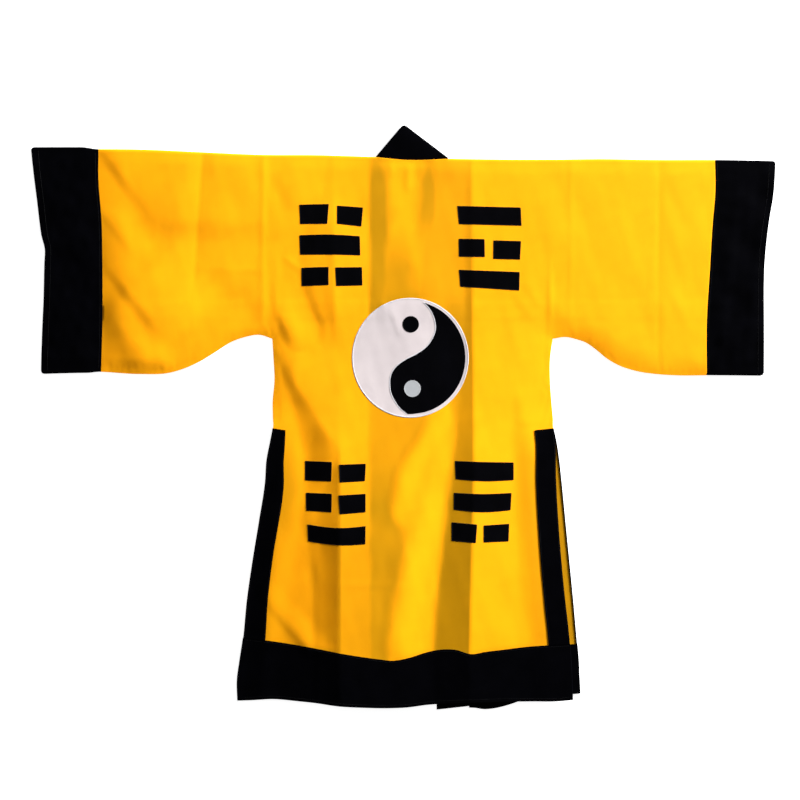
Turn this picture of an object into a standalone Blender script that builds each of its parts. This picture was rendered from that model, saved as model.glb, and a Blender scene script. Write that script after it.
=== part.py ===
"""A Taoist priest's robe, laid flat with its back up, at its real size.

+X is the wearer's right, +Y runs from the hem to the collar and +Z is up from the surface that
the robe lies on. Sizes in the tables are millimetres, counted from the middle of the back and
from the line of the shoulders. At the end the whole robe is moved, so that its origin lies on
the surface, under the middle of its outline.
"""

import math
from collections import namedtuple

import bmesh
import bpy
import numpy as np

MM = 0.001

# Thickness of the cloth, in millimetres
CLOTH = 1.0
DOUBLE = 2.0
TRIM = 1.0
LIP = 0.8
APPLIQUE = 0.8
GAP = 0.3
EDGE_GAP = 0.7
SEAM_GAP = 0.9

# Heights of the undersides of the layers, from the surface up. The back lies on the fronts, and
# beside the slits it lies on the lips of their bands.
FRONT_Z = TRIM + GAP
BACK_Z = FRONT_Z + CLOTH + 0.35
SLIT_Z = FRONT_Z + CLOTH + 2 * (GAP + LIP) + GAP
NECK_RISE = 0.7

# Places that the pieces share
NECK_LEFT_X = -76.0
NECK_RIGHT_X = 90.0
ARMPIT_LEFT_X = -314.0
ARMPIT_RIGHT_X = 330.0
ARMPIT_Y = -418.0
SIDE_SEAM_END_Y = -600.0
SLIT_TOP_Y = -624.0
SHOULDER_FLAP = 12.0
SEAM_RISE = 25.0
SLIT_FALL = 70.0
LIFT_MOST = 3.5

# Outline of the robe: one row for each place, as (x, y) along the body and (y, x) up its sides
SHOULDER = [
    (-868, 18), (-714, 18), (-619, 17), (-481, 11), (-343, 5), (-205, 4), (-76, 0),
    (90, -4), (140, -5), (338, -6), (439, -5), (577, -7), (703, -7), (842, -10),
]
NECKLINE = [(-76, -1), (-30, -6), (7, -8), (50, -7), (90, -5)]
LEFT_UNDERARM = [
    (-845, -496), (-708, -494), (-619, -499), (-550, -496), (-481, -470), (-446, -449),
    (-412, -427), (-377, -414), (-343, -409), (-314, -418),
]
RIGHT_UNDERARM = [
    (330, -418), (361, -414), (384, -419), (407, -427), (430, -443), (453, -462),
    (476, -476), (522, -492), (568, -499), (614, -502), (684, -502), (815, -503),
]
LEFT_SIDE = [
    (-1244, -391), (-1203, -395), (-1157, -389), (-1111, -382), (-1019, -373), (-927, -360),
    (-835, -345), (-743, -331), (-697, -328), (-651, -319), (-624, -314), (-559, -313),
    (-513, -309), (-467, -311), (-418, -314),
]
RIGHT_SIDE = [
    (-1246, 370), (-1157, 371), (-1111, 369), (-1019, 359), (-927, 350), (-835, 343),
    (-743, 338), (-651, 336), (-624, 333), (-559, 327), (-513, 324), (-467, 324), (-418, 330),
]
FRONT_LEFT_SIDE = [
    (-1238, -382), (-1203, -383), (-1111, -370), (-1019, -361), (-927, -349), (-835, -335),
    (-743, -322), (-697, -319), (-651, -316), (-624, -314),
]
FRONT_RIGHT_SIDE = [
    (-1233, 394), (-1203, 392), (-1157, 390), (-1111, 386), (-1019, 378), (-927, 369),
    (-835, 360), (-743, 351), (-697, 346), (-651, 339), (-624, 333),
]
HEM_SEAM = [
    (-395, -1104), (-330, -1111), (-274, -1119), (-205, -1131), (-136, -1144), (-67, -1154),
    (-39, -1157), (2, -1150), (37, -1139), (71, -1132), (106, -1132), (143, -1142),
    (175, -1137), (209, -1133), (278, -1125), (322, -1122), (395, -1118),
]
HEM_EDGE = [
    (-395, -1244), (-306, -1243), (-251, -1249), (-212, -1254), (-168, -1260), (-101, -1264),
    (-44, -1265), (0, -1263), (39, -1258), (64, -1256), (163, -1251), (290, -1247), (372, -1247),
]
FRONT_RIGHT_HEM = [
    (60, -1270), (94, -1267), (129, -1263), (151, -1264), (172, -1267), (196, -1265),
    (235, -1255), (255, -1249), (301, -1243), (347, -1237), (396, -1233),
]
FRONT_LEFT_HEM = [(-384, -1236), (-300, -1238), (-200, -1246), (-120, -1251), (-46, -1254)]
FRONT_HEM_DEPTH = 120.0

# Cuffs: the seam to the sleeve and the open edge, as (y, x)
LEFT_CUFF_SEAM = [(-494, -708), (-375, -705), (-260, -705), (-145, -707), (-50, -714), (18, -714)]
LEFT_CUFF_EDGE = [
    (-496, -845), (-421, -843), (-329, -839), (-245, -838), (-145, -849), (-53, -860), (18, -868),
]
RIGHT_CUFF_SEAM = [(-502, 684), (-375, 684), (-260, 691), (-145, 698), (-90, 703), (-7, 703)]
RIGHT_CUFF_EDGE = [
    (-503, 815), (-375, 815), (-283, 815), (-237, 817), (-145, 827), (-99, 835), (-10, 842),
]

# Collar: the free edge and the sewn edge of each front band below the neck, as (y, x)
COLLAR_LEFT_FREE = [(-1256, -34), (-900, -35), (-500, -33), (-150, -28), (-40, -16)]
COLLAR_LEFT_SEWN = [(-1256, -104), (-900, -104), (-500, -102), (-150, -92), (-40, -74)]
COLLAR_RIGHT_FREE = [
    (-1270, 64), (-1000, 68), (-880, 76), (-700, 90), (-560, 86), (-400, 62), (-150, 22), (-40, 5),
]
COLLAR_RIGHT_SEWN = [
    (-1262, 138), (-1000, 142), (-880, 150), (-700, 163), (-560, 159), (-400, 136), (-150, 98),
    (-40, 87),
]
CUFF_THICK = 4.9
COLLAR_PEAK_Y = 71.3
COLLAR_PEAK_X = (-22.0, -10.0)
COLLAR_RADIUS = 2.4
COLLAR_ROWS = 14

# Width of the slit bands on the back, as (y, width)
LEFT_BAND_WIDTH = [(-1111, 51), (-900, 45), (-780, 45), (-697, 40), (-624, 30)]
RIGHT_BAND_WIDTH = [(-1111, 49), (-900, 47), (-743, 46), (-624, 44)]
FRONT_BAND_WIDTH = [(-1111, 48), (-624, 46)]
BAND_LIP = 5.0
BAND_END_SLANT = 8.0

# Folds of the back: the line from (x0, y0) to (x1, y1), its height and its reach on each side
Fold = namedtuple("Fold", "x0 y0 x1 y1 height left right pressed")
FOLDS = [
    Fold(-176, -60, -161, -1300, 3.3, 62, 58, True),
    Fold(147, -60, 146, -1300, 3.5, 62, 75, True),
    Fold(-488, -30, -489, -440, 2.6, 95, 95, False),
    Fold(-488, -30, -489, -440, -2.6, 45, 45, True),
    Fold(-336, -30, -337, -392, 3.2, 48, 40, True),
    Fold(371, -40, 370, -398, 3.0, 42, 48, True),
    Fold(573, -40, 571, -470, 2.4, 90, 90, False),
    Fold(573, -40, 571, -470, -2.4, 42, 42, True),
    Fold(-9, -40, -6, -330, 2.4, 45, 42, False),
    Fold(30, -640, 14, -1300, 3.0, 52, 55, False),
    Fold(-296, -430, -172, -690, 3.0, 40, 40, False),
    Fold(-670, -30, -590, -150, 2.2, 34, 34, False),
    Fold(-665, -320, -570, -430, 2.4, 36, 36, False),
]
FOLD_FADE = 90.0
SHOULDER_FADE = 26.0

# Emblem on the back: a white disc with a black half and two eyes
EMBLEM_X = 3.0
EMBLEM_Y = -462.0
DISC_RX = 134.0
DISC_RY = 137.5
HALF_INSET = 9.5
UPPER_HEAD = 60.0
LOWER_HEAD = 47.0
EYE_RADIUS = 19.0
EYE_RISE = 74.0

# Trigram bars: left end, right end, height of the middle and slope of each strip of black cloth
Bar = namedtuple("Bar", "name x0 x1 y slope")
BARS = [
    Bar("bar_upper_left_1a", -250, -187, -132, 0.01),
    Bar("bar_upper_left_1b", -165, -109, -136, -0.08),
    Bar("bar_upper_left_2", -250, -113, -204, -0.012),
    Bar("bar_upper_left_3a", -246, -187, -275, 0.03),
    Bar("bar_upper_left_3b", -168, -108, -275, 0.0),
    Bar("bar_upper_right_1", 113, 257, -136, -0.026),
    Bar("bar_upper_right_2a", 115, 173, -209, -0.014),
    Bar("bar_upper_right_2b", 195, 256, -215, -0.03),
    Bar("bar_upper_right_3", 117, 253, -283, -0.045),
    Bar("bar_lower_left_1a", -238, -178, -722, -0.03),
    Bar("bar_lower_left_1b", -159, -101, -726, 0.01),
    Bar("bar_lower_left_2a", -236, -179, -795, -0.04),
    Bar("bar_lower_left_2b", -160, -100, -800, 0.06),
    Bar("bar_lower_left_3", -230, -101, -868, -0.05),
    Bar("bar_lower_right_1", 107, 239, -721, -0.03),
    Bar("bar_lower_right_2", 104, 233, -792, -0.012),
    Bar("bar_lower_right_3a", 99, 153, -864, -0.09),
    Bar("bar_lower_right_3b", 172, 228, -866, 0.03),
]
BAR_HEIGHT = 41.0

# Colours and finish of the cloths
Cloth = namedtuple("Cloth", "name colour roughness")
YELLOW = Cloth("golden_yellow_cloth", (0.95, 0.47, 0.01, 1.0), 0.75)
BLACK = Cloth("black_cloth", (0.006, 0.006, 0.009, 1.0), 0.7)
WHITE = Cloth("white_cloth", (0.78, 0.77, 0.78, 1.0), 0.7)


def smooth(table, at):
    """Value at any place of a smooth curve through a table's rows of (place, value)."""
    places, values = np.array(sorted(table), float).T
    slopes = np.gradient(values, places)
    at = np.clip(at, places[0], places[-1])
    i = np.clip(np.searchsorted(places, at) - 1, 0, len(places) - 2)
    step = places[i + 1] - places[i]
    t = (at - places[i]) / step
    start = (1 + 2 * t) * (1 - t) ** 2 * values[i] + t * (1 - t) ** 2 * step * slopes[i]
    end = t * t * (3 - 2 * t) * values[i + 1] + t * t * (t - 1) * step * slopes[i + 1]
    return start + end


def ease(t):
    """0 below t = 0, 1 above t = 1, and a smooth rise between."""
    t = np.clip(t, 0.0, 1.0)
    return t * t * (3 - 2 * t)


def distance_to(path, x, y):
    """How far points lie from a path of straight runs."""
    best = np.full(np.broadcast(x, y).shape, np.inf)
    for (x0, y0), (x1, y1) in zip(path, path[1:]):
        dx, dy = x1 - x0, y1 - y0
        t = np.clip(((x - x0) * dx + (y - y0) * dy) / (dx * dx + dy * dy), 0, 1)
        best = np.minimum(best, np.hypot(x - x0 - t * dx, y - y0 - t * dy))
    return best


def seam_path(underarm, side):
    """The seam of one sleeve and side, from the cuff to where the slit begins."""
    down = [(x, y) for y, x in sorted(side, reverse=True) if SIDE_SEAM_END_Y < y < ARMPIT_Y]
    down.append((float(smooth(side, SIDE_SEAM_END_Y)), SIDE_SEAM_END_Y))
    along = sorted(underarm, reverse=side is RIGHT_SIDE)
    return along + down


SEAM_PATHS = [seam_path(LEFT_UNDERARM, LEFT_SIDE), seam_path(RIGHT_UNDERARM, RIGHT_SIDE)]


def fold_height(fold, x, y):
    """How far one fold lifts the cloth: a tent for a pressed fold, a round wave for a soft one."""
    dx, dy = fold.x1 - fold.x0, fold.y1 - fold.y0
    length = math.hypot(dx, dy)
    along = ((x - fold.x0) * dx + (y - fold.y0) * dy) / length
    across = ((x - fold.x0) * -dy + (y - fold.y0) * dx) / length
    reach = np.where(across < 0, fold.left, fold.right)
    share = np.clip(1 - np.abs(across) / reach, 0, 1)
    shape = share if fold.pressed else ease(share)
    fade = min(FOLD_FADE, length / 3)
    ends = ease(along / fade + 1) * ease((length - along) / fade + 1)
    return fold.height * shape * ends


def back_underside(x, y):
    """Height of the underside of the back: on the fronts, higher beside the slits, with its folds."""
    away = np.minimum(distance_to(SEAM_PATHS[0], x, y), distance_to(SEAM_PATHS[1], x, y))
    inside = ease(away / SEAM_RISE)
    below_shoulder = ease((smooth(SHOULDER, x) - y) / SHOULDER_FADE)
    at_slit = np.minimum(x - smooth(LEFT_SIDE, y), smooth(RIGHT_SIDE, y) - x)
    past_band = np.where(y < ARMPIT_Y, at_slit - SIDE_STEPS[-1], 1000.0)
    beside_slit = ease((SIDE_SEAM_END_Y - y) / (SIDE_SEAM_END_Y - SLIT_TOP_Y)) * ease(1 - past_band / SLIT_FALL)
    at_neck = ease(1 - np.hypot(np.maximum(np.abs(x - 7) - 83, 0), y) / 60)
    base = BACK_Z + (SLIT_Z - BACK_Z) * beside_slit + NECK_RISE * at_neck
    lift = np.clip(sum(fold_height(fold, x, y) for fold in FOLDS), 0, LIFT_MOST)
    return base + lift * inside * below_shoulder * ease(past_band / 30)


def material(cloth):
    """The cloth's material, made once."""
    made = bpy.data.materials.get(cloth.name)
    if made is None:
        made = bpy.data.materials.new(cloth.name)
        made.use_nodes = True
        shader = made.node_tree.nodes["Principled BSDF"]
        shader.inputs["Base Color"].default_value = cloth.colour
        shader.inputs["Roughness"].default_value = cloth.roughness
    return made


def new_piece(name, cloth, points, faces, parent):
    """A named piece of cloth from points in millimetres."""
    mesh = bpy.data.meshes.new(name)
    mesh.from_pydata((np.array(points, float) * MM).tolist(), [], faces)
    mesh.materials.append(material(cloth))
    made = bpy.data.objects.new(name, mesh)
    bpy.context.scene.collection.objects.link(made)
    made.parent = parent
    return made


def wall(name, cloth, outer, inner, parent, cells=None, closed=False):
    """A wall of cloth between two grids of points, over the cells that are there.

    Rows of a closed grid run right round, like the rings of a cuff.
    """
    rows, columns = outer.shape[:2]
    across = columns if closed else columns - 1
    if cells is None:
        cells = np.ones((rows - 1, across), bool)
    used = {}
    points, faces, edges = [], [], {}

    def corner(side, i, j):
        key = (side, i, j % columns)
        if key not in used:
            used[key] = len(points)
            points.append((outer if side else inner)[key[1], key[2]])
        return used[key]

    for i, j in zip(*np.nonzero(cells)):
        ring = [(i, j), (i, j + 1), (i + 1, j + 1), (i + 1, j)]
        for a, b, c in ((0, 1, 2), (0, 2, 3)):
            faces.append([corner(1, *ring[k]) for k in (a, b, c)])
            faces.append([corner(0, *ring[k]) for k in (c, b, a)])
        for a, b in zip(ring, ring[1:] + ring[:1]):
            edges[(a[0], a[1] % columns), (b[0], b[1] % columns)] = True
    for a, b in edges:
        if (b, a) not in edges:
            faces.append([corner(1, *b), corner(1, *a), corner(0, *a)])
            faces.append([corner(1, *b), corner(0, *a), corner(0, *b)])
    return new_piece(name, cloth, points, faces, parent)


def flat_piece(name, cloth, outline, low, high, parent):
    """A flat piece of cloth with a given outline."""
    mesh = bmesh.new()
    floor = mesh.faces.new([mesh.verts.new((x * MM, y * MM, low * MM)) for x, y in outline])
    raised = bmesh.ops.extrude_face_region(mesh, geom=[floor])["geom"]
    for vertex in raised:
        if isinstance(vertex, bmesh.types.BMVert):
            vertex.co.z = high * MM
    bmesh.ops.recalc_face_normals(mesh, faces=mesh.faces)
    data = bpy.data.meshes.new(name)
    mesh.to_mesh(data)
    mesh.free()
    data.materials.append(material(cloth))
    made = bpy.data.objects.new(name, data)
    bpy.context.scene.collection.objects.link(made)
    made.parent = parent
    return made


def swept(name, cloth, loops, parent):
    """A solid strip through a row of loops that have the same number of points."""
    count = len(loops[0])
    points = [point for loop in loops for point in loop]
    faces = [list(range(count))[::-1], list(range(len(points) - count, len(points)))]
    for k in range(len(loops) - 1):
        for a in range(count):
            b = (a + 1) % count
            low, high = k * count, (k + 1) * count
            faces.append([low + a, low + b, high + b])
            faces.append([low + a, high + b, high + a])
    made = new_piece(name, cloth, points, faces, parent)
    tidy = bmesh.new()
    tidy.from_mesh(made.data)
    bmesh.ops.recalc_face_normals(tidy, faces=tidy.faces)
    tidy.to_mesh(made.data)
    tidy.free()
    return made


# Columns and rows of the back, as shares of the way between its guiding lines
SLEEVE_LEFT_SHARES = [0, 0.08, 0.17, 0.27, 0.37, 0.46, 0.558, 0.65, 0.73, 0.81, 0.88, 0.945]
SLEEVE_RIGHT_SHARES = [0.95, 0.89, 0.83, 0.77, 0.71, 0.64, 0.56, 0.47, 0.40, 0.332, 0.24, 0.15, 0.07, 0]
SIDE_STEPS = [0.0, 28.0, 57.0]
SIDE_SHARES = [0.36, 0.7]
MIDDLE_COLUMNS = 11
UPPER_ROWS = 11
LOWER_ROWS = 12
SIDE_SEAM_ROWS = [-450.0, -500.0, -550.0, SIDE_SEAM_END_Y]


def crease_x(fold, y):
    """Where a fold's line crosses a height."""
    return fold.x0 + (fold.x1 - fold.x0) * (y - fold.y0) / (fold.y1 - fold.y0)


def body_columns(y, hem=False):
    """The x of every column of the body at one height, from the left side to the right."""
    y = min(y, 0.0)
    inset = (TRIM + EDGE_GAP) * float(ease((SIDE_SEAM_END_Y - y) / 20)) * (not hem)
    left = float(smooth(LEFT_SIDE, y)) + inset if y < ARMPIT_Y else ARMPIT_LEFT_X
    right = float(smooth(RIGHT_SIDE, y)) - inset if y < ARMPIT_Y else ARMPIT_RIGHT_X
    crease_left, crease_right = crease_x(FOLDS[0], y), crease_x(FOLDS[1], y)
    from_left = [left + step for step in SIDE_STEPS]
    from_left += [from_left[-1] + (crease_left - from_left[-1]) * share for share in SIDE_SHARES]
    from_right = [right - step for step in SIDE_STEPS]
    from_right += [from_right[-1] + (crease_right - from_right[-1]) * share for share in SIDE_SHARES]
    middle = np.linspace(crease_left, crease_right, MIDDLE_COLUMNS + 1)
    return from_left + list(middle) + from_right[::-1]


def back_plan():
    """The (x, y) grid of the back, and which of its cells hold cloth.

    Row 0 is the hem seam, the armpits lie on one row, and the last row is where the cloth
    starts to turn over the shoulder. Columns outside the armpits are the sleeves'.
    """
    body = len(body_columns(0.0))
    first, last = len(SLEEVE_LEFT_SHARES), len(SLEEVE_LEFT_SHARES) + body
    total = last + len(SLEEVE_RIGHT_SHARES)
    turn = (BACK_Z + CLOTH - FRONT_Z) / 2
    plan = []
    for share in np.linspace(0, 1, LOWER_ROWS + 1):
        row = np.full((total, 2), np.nan)
        for k in range(body):
            x, y = body_columns(SLIT_TOP_Y)[k], SLIT_TOP_Y
            for _ in range(3):
                hem = float(smooth(HEM_SEAM, x)) + GAP / 2
                y = hem + (SLIT_TOP_Y - hem) * share
                x = body_columns(y)[k]
            row[first + k] = x, y
        plan.append(row)
    for y in reversed(SIDE_SEAM_ROWS):
        row = np.full((total, 2), np.nan)
        row[first:last, 0] = body_columns(y)
        row[first:last, 1] = y
        plan.append(row)
    armpit_row = len(plan)
    shares = np.linspace(0, 1, UPPER_ROWS + 1)
    for step in range(UPPER_ROWS + 4):
        row = np.zeros((total, 2))
        for j in range(total):
            x = upper_x(j, first, last, ARMPIT_Y / 2)
            low, high = lower_end(j, first, last, x), float(smooth(SHOULDER, x)) - turn
            if NECK_LEFT_X < x < NECK_RIGHT_X:
                high = float(smooth(NECKLINE, x)) - GAP / 2
            stops = [low, low + 10, low + SEAM_RISE]
            stops += list(stops[-1] + (high - 22 - stops[-1]) * shares[1:])
            stops.append(high)
            y = stops[step]
            row[j] = upper_x(j, first, last, y), y
        plan.append(row)
    return np.array(plan), armpit_row, first, last


def upper_x(j, first, last, y):
    """The x of a column at a height above the armpits."""
    if j < first:
        seam = float(smooth(LEFT_CUFF_SEAM, y)) + SEAM_GAP / 2
        return seam + (ARMPIT_LEFT_X - seam) * SLEEVE_LEFT_SHARES[j]
    if j >= last:
        seam = float(smooth(RIGHT_CUFF_SEAM, y)) - SEAM_GAP / 2
        return seam + (ARMPIT_RIGHT_X - seam) * SLEEVE_RIGHT_SHARES[j - last]
    columns = body_columns(y)
    columns[neck_column(columns, NECK_LEFT_X)] = NECK_LEFT_X
    columns[neck_column(columns, NECK_RIGHT_X)] = NECK_RIGHT_X
    return columns[j - first]


def neck_column(columns, x):
    """The body column that is nearest to one end of the neckline."""
    return int(np.argmin(np.abs(np.array(columns) - x)))


def lower_end(j, first, last, x):
    """The lowest height of a column above the armpits: the sleeve's seam or the armpit row."""
    if j < first:
        return float(smooth(LEFT_UNDERARM, x))
    if j >= last:
        return float(smooth(RIGHT_UNDERARM, x))
    return ARMPIT_Y


def make_back(parent):
    """The back with both sleeve backs, cut in one and turned over the shoulder line."""
    plan, armpit_row, first, last = back_plan()
    x, y = plan[..., 0], plan[..., 1]
    low = back_underside(np.nan_to_num(x), np.nan_to_num(y))
    under = np.dstack([x, y, low])
    over = np.dstack([x, y, low + CLOTH])
    cells = np.ones((len(plan) - 1, plan.shape[1] - 1), bool)
    cells[:armpit_row, :first] = False
    cells[:armpit_row, last - 1:] = False

    outside = (BACK_Z + CLOTH - FRONT_Z) / 2
    middle_z = FRONT_Z + outside
    top_row = plan[-1]
    for angle in (45, 0, -45, -90):
        c, s = math.cos(math.radians(angle)), math.sin(math.radians(angle))
        turned = [
            np.column_stack([top_row[:, 0], top_row[:, 1] + c * r, np.full(len(top_row), middle_z + s * r)])
            for r in (outside, outside - CLOTH)
        ]
        over = np.concatenate([over, turned[0][None]])
        under = np.concatenate([under, turned[1][None]])
    flap = top_row[:, 1] + outside - SHOULDER_FLAP
    over = np.concatenate([over, np.column_stack([top_row[:, 0], flap, np.full(len(flap), FRONT_Z)])[None]])
    under = np.concatenate(
        [under, np.column_stack([top_row[:, 0], flap, np.full(len(flap), FRONT_Z + CLOTH)])[None]]
    )
    turned_cells = np.ones((5, cells.shape[1]), bool)
    middles = (top_row[1:, 0] + top_row[:-1, 0]) / 2
    turned_cells[:, (middles > NECK_LEFT_X) & (middles < NECK_RIGHT_X)] = False
    cells = np.concatenate([cells, turned_cells])
    made = wall("back", YELLOW, over, under, parent, cells)
    return made, over[: len(plan)], cells[: len(plan) - 1]


def make_back_hem(parent):
    """The black band along the hem of the back, of doubled cloth, with the folds running on."""
    rows_out, rows_in = [], []
    for share in (0.0, 0.5, 1.0):
        out, inner = [], []
        for k in range(len(body_columns(0.0))):
            x, y = body_columns(-1130.0, True)[k], -1130.0
            for _ in range(3):
                seam = float(smooth(HEM_SEAM, x)) - GAP / 2
                y = seam + (float(smooth(HEM_EDGE, x)) - seam) * share
                x = body_columns(y, True)[k]
            low = float(back_underside(np.array(x), np.array(y))) - GAP
            out.append((x, y, low + DOUBLE))
            inner.append((x, y, low))
        rows_out.append(out)
        rows_in.append(inner)
    outer, inner = np.array(rows_out[::-1]), np.array(rows_in[::-1])
    return wall("hem_back", BLACK, outer, inner, parent)


def edge_points(table, start, end, count):
    """Points (x, y) down a (y, x) table from one height to another."""
    return [(float(smooth(table, y)), y) for y in np.linspace(start, end, count)]


def band_edge(table):
    """Points (x, y) up one edge of a front band of the collar, from the hem to the neck."""
    return edge_points(table, table[0][0], table[-1][0], COLLAR_ROWS)


def make_front(side, parent):
    """One front with its sleeve front, flat under the back, and the black band along its hem."""
    right = side == "right"
    sign = 1 if right else -1
    sewn = COLLAR_RIGHT_SEWN if right else COLLAR_LEFT_SEWN
    slit = FRONT_RIGHT_SIDE if right else FRONT_LEFT_SIDE
    seamed = RIGHT_SIDE if right else LEFT_SIDE
    underarm = RIGHT_UNDERARM if right else LEFT_UNDERARM
    cuff = RIGHT_CUFF_SEAM if right else LEFT_CUFF_SEAM
    hem = FRONT_RIGHT_HEM if right else FRONT_LEFT_HEM
    neck_x = NECK_RIGHT_X if right else NECK_LEFT_X
    armpit_x = ARMPIT_RIGHT_X if right else ARMPIT_LEFT_X

    def hem_seam(x):
        return float(smooth(hem, x)) + FRONT_HEM_DEPTH

    inner_end = float(smooth(sewn, -1140.0)) + sign * EDGE_GAP
    outer_end = float(smooth(slit, -1120.0)) - sign * (TRIM + EDGE_GAP)
    inner_y = hem_seam(inner_end) + GAP
    inner = [(x + sign * EDGE_GAP, y) for x, y in reversed(band_edge(sewn)) if y > inner_y + 20]
    inner.append((float(smooth(sewn, inner_y)) + sign * EDGE_GAP, inner_y))
    stations = np.linspace(inner_end, outer_end, 10)
    along_hem = [(x, hem_seam(x) + GAP) for x in stations[1:-1]]
    up_slit = edge_points(slit, hem_seam(outer_end) + GAP, SLIT_TOP_Y, LOWER_ROWS + 1)
    up_slit = [(x - sign * (TRIM + EDGE_GAP), y) for x, y in up_slit]
    up_side = edge_points(seamed, SLIT_TOP_Y + 4, ARMPIT_Y, 5)
    sleeve = [(x, y) for x, y in sorted(underarm, reverse=not right)]
    sleeve = [p for p in sleeve if abs(p[0]) > abs(armpit_x) and abs(p[0]) < abs(cuff[0][1])]
    up_cuff = [(x - sign * SEAM_GAP / 2, y) for y, x in sorted(cuff)]
    shoulder_y = float(smooth(SHOULDER, up_cuff[-1][0])) - SHOULDER_FLAP - SEAM_GAP
    up_cuff[-1] = (up_cuff[-1][0], shoulder_y)
    along_shoulder = [
        (x, float(smooth(SHOULDER, x)) - SHOULDER_FLAP - SEAM_GAP)
        for x in np.linspace(up_cuff[-1][0], neck_x + sign * 1.0, 9)[1:]
    ]
    outline = inner + along_hem + up_slit + up_side + sleeve + up_cuff + along_shoulder
    flat_piece(f"front_{side}", YELLOW, outline, FRONT_Z, FRONT_Z + CLOTH, parent)

    bottom_in = float(smooth(sewn, sewn[0][0])) + sign * EDGE_GAP
    bottom_out = float(smooth(slit, slit[0][0]))
    low = [(x, float(smooth(hem, x))) for x in np.linspace(bottom_in, bottom_out, 12)]
    side_up = edge_points(slit, low[-1][1], hem_seam(outer_end), 4)[1:]
    high = [(x, hem_seam(x)) for x in stations[::-1]]
    flat_piece(f"hem_front_{side}", BLACK, low + side_up + high, 0.0, DOUBLE, parent)


def slit_band(name, sign, edge, width, end_y, panel_low, on_top, parent):
    """The black band down one slit, turned round the panel's edge to a narrow lip behind it.

    Its section is a C round the panel: a wide leaf on the outside, a lip on the inside.
    """
    panel_high = panel_low + CLOTH
    leaf = (panel_high + GAP, panel_high + GAP + TRIM)
    lip = (panel_low - GAP, panel_low - GAP - LIP)
    if not on_top:
        leaf = (panel_low - GAP, panel_low - GAP - TRIM)
        lip = (panel_high + GAP, panel_high + GAP + LIP)
    loops = []
    for share in np.linspace(0, 1, LOWER_ROWS + 1):
        y_edge = SLIT_TOP_Y + (end_y(float(smooth(edge, -1115.0))) - SLIT_TOP_Y) * share
        x_edge = float(smooth(edge, y_edge))
        wide = float(smooth(width, y_edge))
        section = [
            (wide, leaf[0]), (wide, leaf[1]), (0, leaf[1]), (0, lip[1]),
            (BAND_LIP, lip[1]), (BAND_LIP, lip[0]), (TRIM, lip[0]), (TRIM, leaf[0]),
        ]
        loop = []
        for inward, z in section:
            x = x_edge - sign * inward
            top = SLIT_TOP_Y - BAND_END_SLANT * inward / wide
            loop.append((x, top + (end_y(x) - top) * share, z))
        loops.append(loop)
    return swept(name, BLACK, loops, parent)


def make_slit_bands(parent):
    """The four bands of the two side slits, two on the back and two on the fronts."""

    def back_end(x):
        return float(smooth(HEM_SEAM, x)) + GAP / 2

    def front_end(hem):
        return lambda x: float(smooth(hem, x)) + FRONT_HEM_DEPTH + EDGE_GAP

    slit_band("slit_band_back_left", -1, LEFT_SIDE, LEFT_BAND_WIDTH, back_end, SLIT_Z, True, parent)
    slit_band("slit_band_back_right", 1, RIGHT_SIDE, RIGHT_BAND_WIDTH, back_end, SLIT_Z, True, parent)
    slit_band(
        "slit_band_front_left", -1, FRONT_LEFT_SIDE, FRONT_BAND_WIDTH,
        front_end(FRONT_LEFT_HEM), FRONT_Z, False, parent,
    )
    slit_band(
        "slit_band_front_right", 1, FRONT_RIGHT_SIDE, FRONT_BAND_WIDTH,
        front_end(FRONT_RIGHT_HEM), FRONT_Z, False, parent,
    )


def make_cuff(side, parent):
    """One cuff: a tube of doubled cloth pressed flat, open at both ends."""
    right = side == "right"
    sign = 1 if right else -1
    seam = RIGHT_CUFF_SEAM if right else LEFT_CUFF_SEAM
    edge = RIGHT_CUFF_EDGE if right else LEFT_CUFF_EDGE
    underarm = RIGHT_UNDERARM if right else LEFT_UNDERARM
    radius = CUFF_THICK / 2
    walls = {0.0: [], DOUBLE: []}
    for share in np.linspace(0, 1, 4):
        for inset, rings in walls.items():
            r = radius - inset
            ring = []
            at_x = float(smooth(seam, -250.0)) * (1 - share) + float(smooth(edge, -250.0)) * share
            top = float(smooth(SHOULDER, at_x)) - radius
            bottom = float(smooth(underarm, at_x)) + radius
            heights = np.linspace(bottom, top, 8)
            path = [(y, -r) for y in heights]
            path += [(top + r * math.cos(a), r * math.sin(a)) for a in np.radians((-45, 0, 45))]
            path += [(y, r) for y in heights[::-1]]
            path += [(bottom - r * math.cos(a), r * math.sin(a)) for a in np.radians((45, 0, -45))]
            for y, z in path:
                x_seam = float(smooth(seam, y)) + sign * SEAM_GAP / 2
                x = x_seam + (float(smooth(edge, y)) - x_seam) * share
                ring.append((x, y, z + radius))
            rings.append(ring)
    outer, inner = np.array(walls[0.0]), np.array(walls[DOUBLE])
    if not right:
        outer, inner = outer[::-1], inner[::-1]
    return wall(f"cuff_{side}", BLACK, outer, inner, parent, closed=True)


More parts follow.
